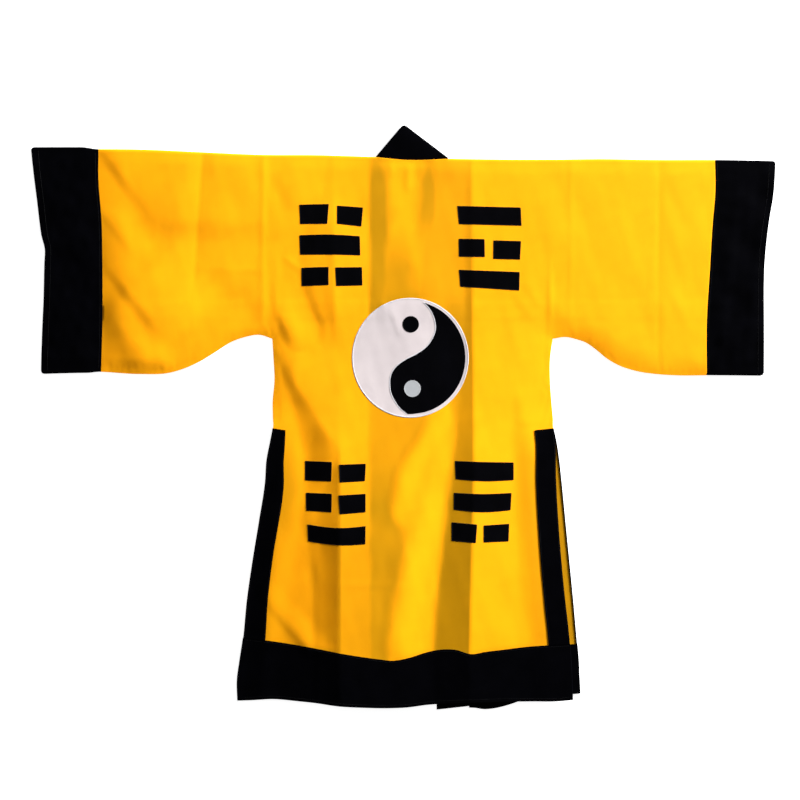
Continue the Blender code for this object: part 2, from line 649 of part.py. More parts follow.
def make_collar(parent):
    """The collar band: up one front, folded over into the peak behind the neck, and down the other."""
    outer_rows, inner_rows = [], []

    def add(low_side, points, z_outer, z_inner):
        outer_rows.append([(x, y, z_outer) for x, y in points])
        inner_rows.append([(x, y, z_inner) for x, y in points])

    def strip_rows(free, sewn):
        return [between(*ends) for ends in zip(band_edge(free), band_edge(sewn))]

    def between(start, end):
        return [tuple(np.array(start) + (np.array(end) - start) * t) for t in (0, 0.5, 1)]

    def fold_rows(peak, neck):
        """Rows round one slope of the peak, from the front band below to the stand above."""
        run = np.array(neck, float) - peak
        normal = np.array([-run[1], run[0]]) / np.hypot(*run)
        if normal[1] < 0:
            normal = -normal
        axis = [np.array(p) - normal * COLLAR_RADIUS for p in between(peak, neck)]
        rows = []
        for angle in (-90, -45, 0, 45, 90):
            c, s = math.cos(math.radians(angle)), math.sin(math.radians(angle))
            rings = []
            for r in (COLLAR_RADIUS, COLLAR_RADIUS - DOUBLE):
                rings.append([(*(p + normal * c * r), COLLAR_RADIUS + s * r) for p in axis])
            rows.append(rings)
        return rows

    left_slope = fold_rows((COLLAR_PEAK_X[0], COLLAR_PEAK_Y), (NECK_LEFT_X, 1.0))
    right_slope = fold_rows((COLLAR_PEAK_X[1], COLLAR_PEAK_Y), (NECK_RIGHT_X, -2.0))
    for row in strip_rows(COLLAR_LEFT_FREE, COLLAR_LEFT_SEWN):
        add(True, row, 0.0, DOUBLE)
    for out, inner in left_slope:
        outer_rows.append(out)
        inner_rows.append(inner)
    peak_x = sum(COLLAR_PEAK_X) / 2
    stand = 2 * COLLAR_RADIUS
    middle = between((peak_x, COLLAR_PEAK_Y), (7.0, float(smooth(NECKLINE, 7.0)) + GAP / 2))
    add(False, middle, stand, stand - DOUBLE)
    for out, inner in reversed(right_slope):
        outer_rows.append(out)
        inner_rows.append(inner)
    for row in reversed(strip_rows(COLLAR_RIGHT_FREE, COLLAR_RIGHT_SEWN)):
        add(True, row, 0.0, DOUBLE)
    made = wall("collar", BLACK, np.array(outer_rows), np.array(inner_rows), parent)
    return made


def applique(name, cloth, outline, level, back, parent):
    """A patch that lies on the back: the back's own outer faces, moved up and cut to an outline."""
    over, cells = back
    xs, ys = [p[0] for p in outline], [p[1] for p in outline]
    near = np.zeros_like(cells)
    for i, j in zip(*np.nonzero(cells)):
        corners = over[i:i + 2, j:j + 2].reshape(-1, 3)
        low, high = corners.min(0), corners.max(0)
        near[i, j] = low[0] < max(xs) and high[0] > min(xs) and low[1] < max(ys) and high[1] > min(ys)
    lift = GAP + level * (APPLIQUE + GAP)
    up = np.array([0.0, 0.0, 1.0])
    made = wall(name, cloth, over + up * (lift + APPLIQUE), over + up * lift, parent, near)
    cutter = flat_piece(f"{name}_outline", cloth, outline, -10.0, 60.0, parent)
    cutter.hide_render = True
    cutter.display_type = "WIRE"
    cut = made.modifiers.new("outline", "BOOLEAN")
    cut.operation = "INTERSECT"
    cut.object = cutter
    return made


def oval(x, y, rx, ry, count):
    """Points round an oval."""
    turn = [2 * math.pi * k / count for k in range(count)]
    return [(x + rx * math.cos(a), y + ry * math.sin(a)) for a in turn]


def dark_half():
    """The black half: the disc's right side, and an S of two half circles between the eyes."""
    rx, ry = DISC_RX - HALF_INSET, DISC_RY - HALF_INSET
    rim = [math.radians(a) for a in np.linspace(-91, 74, 24)]
    points = [(EMBLEM_X + rx * math.cos(a), EMBLEM_Y + ry * math.sin(a)) for a in rim]
    small = ry / 2
    upper = [math.radians(a) for a in np.linspace(58, -90, 12)]
    points += [
        (EMBLEM_X + UPPER_HEAD * math.cos(a), EMBLEM_Y + small + small * math.sin(a)) for a in upper
    ]
    lower = [math.radians(a) for a in np.linspace(90, 262, 13)][1:]
    points += [
        (EMBLEM_X + LOWER_HEAD * math.cos(a), EMBLEM_Y - small + small * math.sin(a)) for a in lower
    ]
    return points


def make_emblem(back, parent):
    """The round emblem in the middle of the back, its patches laid on each other."""
    disc = oval(EMBLEM_X, EMBLEM_Y, DISC_RX, DISC_RY, 48)
    applique("emblem_disc", WHITE, disc, 0, back, parent)
    applique("emblem_dark_half", BLACK, dark_half(), 1, back, parent)
    upper_eye = oval(EMBLEM_X, EMBLEM_Y + EYE_RISE, EYE_RADIUS, EYE_RADIUS, 16)
    applique("emblem_dark_eye", BLACK, upper_eye, 1, back, parent)
    lower_eye = oval(EMBLEM_X + 4, EMBLEM_Y - EYE_RISE, EYE_RADIUS, EYE_RADIUS, 16)
    applique("emblem_light_eye", WHITE, lower_eye, 2, back, parent)


def make_bars(back, parent):
    """The strips of the four trigrams round the emblem."""
    for bar in BARS:
        middle = (bar.x0 + bar.x1) / 2
        half = BAR_HEIGHT / 2
        outline = [
            (x, bar.y + bar.slope * (x - middle) + side * half)
            for x, side in ((bar.x0, -1), (bar.x1, -1), (bar.x1, 1), (bar.x0, 1))
        ]
        applique(bar.name, BLACK, outline, 0, back, parent)


def centre(parent):
    """Moves the robe so that its origin is under the middle of its outline."""
    pieces = [piece for piece in parent.children if not piece.hide_render]
    plain = [np.array([v.co for v in p.data.vertices]) for p in pieces if not p.modifiers]
    points = np.concatenate(plain)
    low, high = points.min(0), points.max(0)
    parent.location = (-(low[0] + high[0]) / 2, -(low[1] + high[1]) / 2, 0.0)


def main():
    for old in list(bpy.data.objects):
        bpy.data.objects.remove(old)
    robe = bpy.data.objects.new("robe", None)
    bpy.context.scene.collection.objects.link(robe)
    _, over, cells = make_back(robe)
    make_back_hem(robe)
    for side in ("left", "right"):
        make_front(side, robe)
        make_cuff(side, robe)
    make_slit_bands(robe)
    make_collar(robe)
    make_emblem((over, cells), robe)
    make_bars((over, cells), robe)
    centre(robe)


main()
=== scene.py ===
"""Dresses the frame of a Taoist priest's robe that lies flat with its back up.

Sizes in the tables are millimetres. x is counted from the middle of the back, towards the
wearer's right, and y from the line of the shoulders, towards the collar. z is up from the
surface that the robe lies on.
"""

import math
from collections import namedtuple

import bpy
import numpy as np
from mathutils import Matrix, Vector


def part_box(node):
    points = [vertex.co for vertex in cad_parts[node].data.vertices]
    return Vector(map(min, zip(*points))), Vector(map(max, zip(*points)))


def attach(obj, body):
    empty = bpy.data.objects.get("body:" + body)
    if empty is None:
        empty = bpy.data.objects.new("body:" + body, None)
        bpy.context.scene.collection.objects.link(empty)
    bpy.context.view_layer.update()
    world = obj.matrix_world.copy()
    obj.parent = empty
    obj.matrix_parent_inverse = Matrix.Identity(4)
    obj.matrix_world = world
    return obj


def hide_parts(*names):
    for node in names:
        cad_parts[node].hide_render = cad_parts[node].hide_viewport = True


bl_info = {
    "name": "Taoist robe",
    "version": (1, 0, 0),
    "blender": (4, 5, 0),
    "location": "3D View > Sidebar > Robe",
    "description": "Cloth, appliques and stitching of a Taoist robe laid flat",
    "category": "Object",
}

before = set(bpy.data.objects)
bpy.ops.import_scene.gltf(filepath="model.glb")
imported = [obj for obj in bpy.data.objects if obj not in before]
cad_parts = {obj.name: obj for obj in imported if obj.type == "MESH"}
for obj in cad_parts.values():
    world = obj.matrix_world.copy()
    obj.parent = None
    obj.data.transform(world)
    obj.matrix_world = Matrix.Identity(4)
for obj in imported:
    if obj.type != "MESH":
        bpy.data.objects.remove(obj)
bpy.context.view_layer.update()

MM = 0.001

# Heights as in the frame: the undersides of the fronts, of the back and of the back over the
# fronts' slit bands, and how much the back rises at the neck
FRONT_Z = 1.3
BACK_Z = 2.65
SLIT_Z = 4.0
NECK_RISE = 0.7
# Radius of the folds of a cuff and of the collar's peak, which is half their thickness
CUFF_RADIUS = 2.45
COLLAR_RADIUS = 2.4

# Places that the pieces share
NECK_LEFT_X = -76.0
NECK_RIGHT_X = 90.0
ARMPIT_LEFT_X = -314.0
ARMPIT_RIGHT_X = 330.0
ARMPIT_Y = -418.0
SIDE_SEAM_END_Y = -600.0
SLIT_TOP_Y = -624.0

# The back's turn over the shoulders: how far it stands out, and how far down the cloth runs on
SHOULDER_TURN = 1.6
SHOULDER_FLAP = 12.0

# Gaps between pieces: at the cuffs' seams, at the edges of the fronts and at the other seams. The
# yellow cloth ends by SLIT_INSET inside the slits' edges, where the bands turn round it.
SEAM_GAP = 0.9
EDGE_GAP = 0.7
GAP = 0.3
SLIT_INSET = 1.7

# Patches: the step from one level to the next, the air in it, and what is under the first level
PATCH = 0.18
PATCH_AIR = 0.04
PATCH_LIFT = 0.06

# Edges past this angle are shaded as sharp
SHARP_ANGLE = math.radians(38)

# Widths of the narrow satin-stitched edges, in metres: of the strips and the eyes, and of S_LINE
NARROW_SATIN = 0.0020
S_LINE_SATIN = 0.0030
# How far apart the stations of a satin-stitched edge are, on the strips and on the emblem
STRIP_STEP = 1.3
EMBLEM_STEP = 0.9
# How far the middle of such an edge lies inside the disc or an eye, and to the left of S_LINE
DISC_INSET = 1.6
EYE_INSET = 0.9
S_LINE_OFFSET = 1.3

# Where the stitches along the back's hem and along its slit bands begin and end
HEM_STITCHES_X = (-376.0, 364.0)
SLIT_STITCHES_Y = (-632.0, -1104.0)

# Strips of the trigrams: their mean height as cut, in metres, and from what length on their grid
# has twice the columns
STRIP_HIGH = 0.041
LONG_STRIP = 90.0

# Stage, in metres: how far the floor reaches to each side, how far it lies under the robe, and
# the width of the key lamp for each metre of its distance
FLOOR_REACH = 60.0
FLOOR_DROP = 0.0003
KEY_SPREAD = 0.2

# The camera's sensor, and the place of the robe that the camera looks down on, in millimetres
SENSOR_WIDTH = 36.0
CAMERA_X = -20.7
CAMERA_Y = -558.9

# Outline of the robe: one row for each place, as (x, y) along the body and (y, x) up its sides
SHOULDER = [
    (-868, 18), (-714, 18), (-619, 17), (-481, 11), (-343, 5), (-205, 4), (-76, 0),
    (90, -4), (140, -5), (338, -6), (439, -5), (577, -7), (703, -7), (842, -10),
]
NECKLINE = [(-76, -1), (-30, -6), (7, -8), (50, -7), (90, -5)]
LEFT_UNDERARM = [
    (-845, -496), (-708, -494), (-619, -499), (-550, -496), (-481, -470), (-446, -449),
    (-412, -427), (-377, -414), (-343, -409), (-314, -418),
]
RIGHT_UNDERARM = [
    (330, -418), (361, -414), (384, -419), (407, -427), (430, -443), (453, -462),
    (476, -476), (522, -492), (568, -499), (614, -502), (684, -502), (815, -503),
]
LEFT_SIDE = [
    (-1250, -394), (-1203, -395), (-1157, -389), (-1111, -382), (-1019, -373), (-927, -360),
    (-835, -345), (-743, -331), (-697, -328), (-651, -319), (-624, -314), (-559, -313),
    (-513, -309), (-467, -311), (-418, -314),
]
RIGHT_SIDE = [
    (-1246, 376), (-1157, 372), (-1111, 369), (-1019, 359), (-927, 350), (-835, 343),
    (-743, 338), (-651, 336), (-624, 333), (-559, 327), (-513, 324), (-467, 324), (-418, 330),
]
FRONT_LEFT_SIDE = [
    (-1238, -382), (-1203, -383), (-1111, -370), (-1019, -361), (-927, -349), (-835, -335),
    (-743, -322), (-697, -319), (-651, -316), (-624, -314),
]
FRONT_RIGHT_SIDE = [
    (-1233, 394), (-1203, 392), (-1157, 390), (-1111, 386), (-1019, 378), (-927, 369),
    (-835, 360), (-743, 351), (-697, 346), (-651, 339), (-624, 333),
]
HEM_SEAM = [
    (-395, -1104), (-330, -1111), (-274, -1119), (-205, -1131), (-136, -1144), (-67, -1154),
    (-39, -1157), (2, -1150), (37, -1139), (71, -1132), (106, -1132), (143, -1142),
    (175, -1137), (209, -1133), (278, -1125), (322, -1122), (395, -1118),
]
HEM_EDGE = [
    (-395, -1249), (-366, -1248), (-315, -1245), (-251, -1250), (-212, -1254), (-168, -1260),
    (-101, -1264), (-44, -1265), (0, -1263), (39, -1258), (64, -1256), (163, -1252),
    (290, -1250), (340, -1250), (378, -1247),
]
FRONT_RIGHT_HEM = [
    (60, -1272), (94, -1269), (129, -1266), (151, -1266), (172, -1269), (196, -1267),
    (235, -1257), (255, -1250), (301, -1243), (347, -1237), (396, -1233),
]
FRONT_LEFT_HEM = [(-384, -1236), (-300, -1238), (-200, -1246), (-120, -1251), (-46, -1254)]
# Depth of the fronts' hem bands, and their mean depth as cut, in metres
FRONT_HEM_DEPTH = 114.0
FRONT_HEM_MEAN = 0.118
# How far above the seam of the back's hem band its allowance shows through the yellow
HEM_SEAM_SHADE = 14.0
# The back's hem band lies a little lower than the back, and no lower than HEM_LOWEST_Z
HEM_DROP = 0.4
HEM_LOWEST_Z = 2.4

# Cuffs: the seam to the sleeve and the open edge, as (y, x)
LEFT_CUFF_SEAM = [(-494, -708), (-375, -705), (-260, -705), (-145, -707), (-50, -714), (18, -714)]
LEFT_CUFF_EDGE = [
    (-496, -845), (-421, -843), (-329, -839), (-245, -837), (-212, -836), (-180, -844),
    (-145, -849), (-100, -854), (-53, -860), (18, -868),
]
RIGHT_CUFF_SEAM = [(-502, 684), (-375, 684), (-260, 691), (-145, 698), (-90, 703), (-7, 703)]
RIGHT_CUFF_EDGE = [
    (-503, 815), (-375, 815), (-283, 815), (-237, 817), (-145, 827), (-99, 835), (-10, 842),
]
# Radius of the corners of a cuff's open edge
CUFF_CORNER = 8.0
# Height at which a cuff's seam and open edge are taken for the course of its folds
CUFF_MIDDLE_Y = -250.0

# Collar: the free edge and the sewn edge of each front band below the neck, as (y, x)
COLLAR_LEFT_FREE = [(-1256, -34), (-900, -35), (-500, -33), (-150, -28), (-40, -16)]
COLLAR_LEFT_SEWN = [(-1256, -104), (-900, -104), (-500, -102), (-150, -92), (-40, -74)]
COLLAR_RIGHT_FREE = [
    (-1270, 64), (-1000, 68), (-880, 76), (-700, 90), (-560, 86), (-400, 62), (-150, 22), (-40, 5),
]
COLLAR_RIGHT_SEWN = [
    (-1262, 138), (-1000, 142), (-880, 150), (-700, 163), (-560, 159), (-400, 136), (-150, 98),
    (-40, 87),
]
# The two ends of the collar's peak, and where its slopes meet the ends of the neck
COLLAR_PEAK = ((-16.5, 71.3), (-6.5, 71.3))
COLLAR_NECK = ((NECK_LEFT_X, 1.0), (NECK_RIGHT_X, -2.0))

# Width of the slit bands, as (y, width)
LEFT_BAND_WIDTH = [(-1111, 51), (-900, 45), (-780, 45), (-697, 40), (-624, 30)]
RIGHT_BAND_WIDTH = [(-1111, 49), (-900, 47), (-743, 46), (-624, 44)]
FRONT_BAND_WIDTH = [(-1111, 48), (-624, 46)]
# Flat area of one slit band, which narrows towards its top, in square metres
SLIT_BAND_AREA = 0.0253
# Height at which a panel's side is taken for where its slit band ends
BAND_END_Y = -1115.0
# How far the lip of a slit band reaches round the panel's edge, how much the band's upper end
# slants, and the air between it and the panel
BACK_BAND_LIP = 5.0
FRONT_BAND_LIP = 2.8
BAND_END_SLANT = 4.5
BAND_AIR = 0.15

# What the left and the right half of the robe have each for themselves. A cuff widens by
# cuff_flare past its seam, above and below.
Half = namedtuple("Half", (
    "sign neck_x armpit_x underarm back_edge back_band front_edge front_hem collar_sewn cuff_seam"
    " cuff_edge cuff_flare"
))
HALVES = {
    "left": Half(
        sign=-1, neck_x=NECK_LEFT_X, armpit_x=ARMPIT_LEFT_X, underarm=LEFT_UNDERARM,
        back_edge=LEFT_SIDE, back_band=LEFT_BAND_WIDTH, front_edge=FRONT_LEFT_SIDE,
        front_hem=FRONT_LEFT_HEM, collar_sewn=COLLAR_LEFT_SEWN, cuff_seam=LEFT_CUFF_SEAM,
        cuff_edge=LEFT_CUFF_EDGE, cuff_flare=(4.5, 3.0),
    ),
    "right": Half(
        sign=1, neck_x=NECK_RIGHT_X, armpit_x=ARMPIT_RIGHT_X, underarm=RIGHT_UNDERARM,
        back_edge=RIGHT_SIDE, back_band=RIGHT_BAND_WIDTH, front_edge=FRONT_RIGHT_SIDE,
        front_hem=FRONT_RIGHT_HEM, collar_sewn=COLLAR_RIGHT_SEWN, cuff_seam=RIGHT_CUFF_SEAM,
        cuff_edge=RIGHT_CUFF_EDGE, cuff_flare=(0.0, 0.0),
    ),
}

# Lines that run down the back from hem to shoulder, as (y, x), with the height of the cloth on
# each, as (y, height). A pressed line is a sharp crease, the others are round ridges and hollows.
LEFT_CREASE = [(-1300, -158), (-1141, -159), (-626, -161), (-265, -172.5), (0, -175)]
RIGHT_CREASE = [(-1300, 138), (-1134, 140), (-614, 149.5), (-329, 147), (0, 145)]
Line = namedtuple("Line", "place height pressed")
BODY_LINES = [
    Line([(-1300, -384), (-900, -352), (-620, -314), (0, -313)], [(-1300, 0), (0, 0)], False),
    Line(
        [(-1300, -333), (-900, -306), (-700, -284), (-610, -280), (-552, -287), (-500, -298),
         (-437, -300), (-260, -290), (0, -244)],
        [(-1300, 4.6), (-900, 4.2), (-800, 3.8), (-700, 2.2), (-620, 0.4), (-552, 0), (0, 0)],
        False,
    ),
    Line(
        [(-1300, -224), (-1000, -222), (-900, -230), (-830, -254), (-760, -248), (-662, -250),
         (-610, -258), (-552, -274), (-500, -291), (-460, -278), (-437, -230), (-400, -208),
         (-350, -228), (-290, -250), (-230, -254), (-170, -238), (-90, -200), (0, -189)],
        [(-1300, 9.8), (-1040, 9.4), (-960, 8.0), (-900, 7.0), (-850, 6.2), (-800, 5.6),
         (-760, 4.6), (-700, 3.0), (-662, 1.2), (-610, 0.4), (-552, 0), (0, 0)],
        False,
    ),
    Line(
        [(-1300, -200), (-900, -206), (-800, -210), (-760, -196), (-700, -170), (-662, -171),
         (-610, -203), (-552, -238), (-500, -265), (-460, -252), (-437, -204), (-400, -190),
         (-350, -204), (-290, -214), (-230, -215), (-170, -206), (-90, -187), (0, -181.5)],
        [(-1300, 12.2), (-1040, 11.8), (-960, 10.4), (-900, 9.4), (-850, 9.0), (-800, 8.8),
         (-760, 8.9), (-700, 10.4), (-662, 9.4), (-610, 6.0), (-552, 2.8), (-500, 1.2),
         (-460, 0.45), (-437, 0.25), (-400, 0.6), (-360, 1.15), (-300, 1.75), (-250, 1.7),
         (-180, 1.0), (-90, 0.3), (0, 0.15)],
        False,
    ),
    Line(
        LEFT_CREASE,
        [(-1300, 18.1), (-900, 17.7), (-800, 15.5), (-760, 14.3), (-700, 11.8), (-662, 9.8),
         (-610, 6.6), (-552, 3.2), (-500, 1.7), (-437, 0.6), (-400, 1.3), (-360, 2.5), (-300, 3.7),
         (-250, 3.6), (-180, 2.2), (-90, 0.7), (0, 0.35)],
        True,
    ),
    Line(
        [(-1300, -97), (-660, -97), (-420, -112), (-265, -112), (0, -150)],
        [(-1300, 15.9), (-900, 15.4), (-800, 13.4), (-700, 10.6), (-662, 9.2), (-610, 6.2),
         (-552, 3.0), (-500, 1.4), (-437, 0.5), (-300, 2.0), (-180, 1.0), (0, 0)],
        False,
    ),
    Line(
        [(-1300, -24), (-1111, -22), (-1000, -14), (-915, 0), (-846, 18), (-777, 38), (-720, 50),
         (-640, 60), (-560, 60), (-420, 40), (0, 5)],
        [(-1300, 14.0), (-950, 13.4), (-835, 11.5), (-720, 8.8), (-639, 6.2), (-560, 3.2),
         (-420, 1.0), (-300, 0.8), (0, 0.2)],
        False,
    ),
    Line(
        [(-1300, 60), (-1088, 60), (-1000, 68), (-900, 80), (-700, 104), (-614, 112),
         (-430, 124), (0, 130)],
        [(-1300, 9.2), (-900, 8.8), (-700, 6.4), (-614, 4.2), (-560, 2.4), (-430, 0.4), (0, 0)],
        False,
    ),
    Line(
        RIGHT_CREASE,
        [(-1300, 13.8), (-900, 13.2), (-700, 9.6), (-614, 6.2), (-560, 4.2), (-450, 2.0),
         (-265, 0.7), (0, 0.35)],
        True,
    ),
    Line(
        [(-1300, 250), (-700, 248), (-500, 236), (-300, 200), (0, 170)],
        [(-1300, 8.4), (-900, 8.2), (-700, 5.6), (-614, 2.8), (-450, 0.8), (-265, 0.1), (0, 0)],
        False,
    ),
    Line(
        [(-1300, 372), (-900, 348), (-620, 332), (-420, 326), (0, 320)],
        [(-1300, 5.4), (-900, 5.2), (-700, 3.2), (-620, 1.0), (-560, 0.3), (-500, 0), (0, 0)],
        False,
    ),
]

# Creases and folds of the sleeves and the sides. Each has tables by y: where its line is, how
# high it stands (below zero it is a valley), and its reach to the left and to the right. A
# pressed one is sharp, the others are soft.
Crease = namedtuple("Crease", "line height left right pressed")
LEFT_SLEEVE_VALLEY = [(-500, -500), (-260, -491), (0, -474)]
LEFT_SLEEVE_RIDGE = [(-430, -336), (-200, -336), (0, -334)]
RIGHT_SLEEVE_RIDGE = [(-430, 371), (0, 373)]
RIGHT_SLEEVE_VALLEY = [(-500, 572), (0, 575)]
CREASES = [
    Crease(
        LEFT_SLEEVE_VALLEY, [(-500, -0.3), (-275, -0.35), (-240, -1.0), (0, -1.0)],
        [(-500, 14), (-275, 16), (-240, 36), (0, 36)],
        [(-500, 14), (-275, 16), (-240, 36), (0, 32)], True,
    ),
    Crease(
        LEFT_SLEEVE_RIDGE, [(-430, 0.45), (-270, 0.45), (0, 0.5)],
        [(-430, 15), (0, 15)], [(-430, 16), (0, 17)], True,
    ),
    Crease(
        RIGHT_SLEEVE_RIDGE, [(-430, 0.15), (0, 0.25)],
        [(-430, 12), (0, 12)], [(-430, 14), (0, 14)], True,
    ),
    Crease(
        RIGHT_SLEEVE_VALLEY, [(-500, -0.25), (0, -0.3)],
        [(-500, 12), (0, 12)], [(-500, 14), (0, 14)], True,
    ),
    Crease(
        [(-430, 324), (-200, 325)], [(-430, 0.5), (-300, 0.45), (-230, 0.15), (-200, 0)],
        [(-430, 12), (-200, 10)], [(-430, 12), (-200, 12)], True,
    ),
    Crease(
        [(-160, -570), (-99, -610), (-41, -654), (10, -694)],
        [(-170, 0), (-140, 0.6), (-90, 1.2), (-40, 1.5), (10, 1.5)],
        [(-160, 44), (-60, 36), (10, 30)], [(-160, 220), (10, 190)], False,
    ),
    Crease(
        [(-250, -610), (-190, -652), (-140, -692)],
        [(-250, 0), (-190, 0.7), (-140, 0.9)],
        [(-250, 30), (-140, 26)], [(-250, 70), (-140, 60)], False,
    ),
    Crease(
        [(-450, -540), (-393, -573), (-340, -613), (-301, -647), (-262, -682), (-200, -740),
         (-100, -834)],
        [(-445, 0), (-415, 0.7), (-380, 1.7), (-330, 1.8), (-262, 1.6), (-200, 1.0), (-120, 0)],
        [(-450, 44), (-340, 38), (-262, 30)], [(-450, 220), (-262, 190)], False,
    ),
    Crease(
        [(-445, -261), (-421, -270), (-391, -283), (-329, -300), (-280, -304)],
        [(-450, 0), (-430, 1.0), (-395, 1.9), (-350, 1.1), (-310, 0.5), (-280, 0)],
        [(-445, 22), (-300, 22)], [(-445, 70), (-300, 60)], False,
    ),
    Crease(
        [(-570, -228), (-513, -266), (-444, -306)],
        [(-590, 0), (-550, 0.3), (-513, 0.6), (-480, 0.8), (-445, 0.7), (-425, 0)],
        [(-570, 34), (-513, 24), (-444, 15)],
        [(-570, 110), (-444, 80)], False,
    ),
    Crease(
        [(-840, -38), (-777, -24), (-731, -12), (-685, 10), (-649, 34), (-616, 52), (-590, 64)],
        [(-870, 0), (-828, 0.6), (-777, 1.1), (-731, 1.6), (-649, 1.9), (-610, 1.3), (-570, 0)],
        [(-840, 30), (-590, 36)], [(-840, 40), (-590, 50)], False,
    ),
    Crease(
        [(-1130, -36), (-1088, -32), (-1042, -26), (-996, -19), (-961, -12), (-904, 0), (-860, 14),
         (-823, 24), (-777, 36)],
        [(-1160, 0.9), (-1088, 1.1), (-996, 1.5), (-904, 1.8), (-860, 1.5), (-823, 0.9), (-777, 0)],
        [(-1130, 36), (-1042, 40), (-904, 56), (-777, 40)],
        [(-1130, 50), (-904, 62), (-777, 50)], False,
    ),
    Crease(
        [(-1130, -228), (-1105, -249), (-1065, -284), (-1024, -318), (-1008, -332)],
        [(-1130, 1.9), (-1008, 1.5)], [(-1130, 26), (-1008, 24)], [(-1130, 70), (-1008, 60)], False,
    ),
    Crease(
        [(-1010, -190), (-950, -208), (-890, -232)],
        [(-1020, 0), (-960, 0.6), (-890, 0.3), (-870, 0)], [(-1010, 30), (-890, 30)],
        [(-1010, 40), (-890, 40)], False,
    ),
]

# Soft folds that lie across: from (x0, y0) to (x1, y1), with a height and a reach on each side
Fold = namedtuple("Fold", "x0 y0 x1 y1 height left right")
FOLDS = [
    Fold(-700, -340, -596, -456, 3.8, 70, 420),
    Fold(-700, -462, -556, -470, 1.0, 30, 60),
    Fold(-482, -265, -352, -384, -1.2, 80, 56),
    Fold(-472, -258, -338, -261, 0.25, 12, 14),
    Fold(-294, -36, -256, -116, 0.8, 34, 80),
    Fold(-286, -232, -246, -262, 0.4, 12, 14),
    Fold(-160, -982, -20, -985, 0.2, 12, 14),
    Fold(-45, -345, -20, -412, 0.35, 10, 22),
    Fold(-66, -330, -50, -366, 0.25, 8, 14),
    Fold(236, -306, 288, -378, 0.25, 14, 30),
    Fold(262, -286, 302, -348, 0.2, 12, 26),
    Fold(610, -60, 672, -190, 0.3, 24, 60),
    Fold(600, -300, 668, -420, 0.3, 24, 60),
    Fold(-78, -13, 56, -16, -0.5, 5, 6),
    Fold(-500, 10, -505, -170, 2.4, 150, 400),
    Fold(252, -608, 330, -606, 1.3, 16, 90),
    Fold(-3, -22, -6, -74, 0.45, 9, 18),
    Fold(26, -10, 28, -50, 0.2, 9, 12),
    Fold(-44, -6, -40, -44, 0.25, 9, 12),
    Fold(-66, -8, -66, -36, 0.15, 8, 10),
    Fold(62, -6, 66, -40, 0.15, 8, 10),
]

# Where the yellow of the back is darkened: where black layers below show through it, and
# painted shade where folds, the flank beside the left crease, the left panel and a sag above
# the emblem are darker than the relief makes them. Each has tables by y: its left and right
# edges and how strong it is, and how softly its left and right edges fade.
Shade = namedtuple("Shade", "left right strength fade_left fade_right")
BLACK_AND_PAINTED_SHADES = [
    Shade(
        [(-560, -90), (0, -90)], [(-560, -44), (-440, -44), (0, -52)],
        [(-620, 0), (-560, 0.6), (-460, 0.9), (-300, 1.0), (-30, 1.0), (0, 0.7)], 18, 40,
    ),
    # The left collar band low down, and painted shade of the diagonal fold up its right side
    Shade(
        [(-1300, -92), (-560, -92)],
        [(-1300, -46), (-1088, -42), (-1042, -36), (-996, -28), (-961, -19), (-904, -10),
         (-858, -12), (-828, -34), (-777, -36), (-731, -28), (-685, -6), (-649, 22), (-616, 38),
         (-560, 50)],
        [(-1300, 0.95), (-900, 0.9), (-790, 0.95), (-700, 0.68), (-600, 0.62), (-560, 0.5),
         (-520, 0)],
        20, 36,
    ),
    Shade(
        [(-240, 14), (-100, 22), (0, 30)], [(-240, 50), (-133, 64), (-87, 64), (-41, 58), (0, 60)],
        [(-300, 0), (-250, 0.2), (-190, 0.4), (-133, 0.85), (-87, 0.95), (-41, 0.88), (0, 0.6)],
        34, 24,
    ),
    # The right collar band near the neck, and past its sewn edge a darker strip out to the right
    # crease
    Shade(
        [(-300, 20), (-200, 30), (-100, 26), (0, 30)], [(-500, 144), (0, 144)],
        [(-560, 0), (-480, 0.5), (-300, 0.56), (-240, 0.52), (-100, 0.52), (-20, 0.44), (0, 0.2)],
        28, 6,
    ),
    # The left collar band above the emblem, and painted shade of the sag between the bands there
    Shade(
        [(-420, -92), (-180, -92)], [(-420, 60), (-300, 24), (-262, 14), (-220, 0), (-180, -14)],
        [(-500, 0), (-450, 0.9), (-300, 0.85), (-240, 0.72), (-190, 0.3), (-150, 0)], 14, 56,
    ),
    Shade(
        [(-1300, 56), (-1088, 57), (-1000, 64), (-904, 74), (-846, 80), (-777, 86), (-685, 98),
         (-616, 102), (-570, 97), (-430, 84), (-300, 70)],
        [(-1300, 137), (-1134, 139), (-614, 148), (-500, 146), (-300, 144)],
        [(-1300, 1.0), (-760, 0.95), (-640, 0.75), (-409, 0.85), (-350, 0.8), (-300, 0.45),
         (-260, 0)],
        26, 4,
    ),
    # Painted shade of the left panel beside its slit band
    Shade(
        [(-1300, -440), (-600, -440)],
        [(-1300, -292), (-1040, -280), (-900, -272), (-830, -262), (-760, -250), (-700, -254),
         (-640, -268)],
        [(-1300, 0.4), (-850, 0.42), (-790, 0.6), (-700, 0.48), (-650, 0.2), (-610, 0)], 10, 40,
    ),
    # Painted shade of the flank right of the left crease
    Shade(
        [(-1300, -160), (-640, -162)], [(-1300, -84), (-640, -84)],
        [(-1300, 0.55), (-900, 0.5), (-800, 0.4), (-700, 0.15), (-660, 0)], 4, 20,
    ),
]

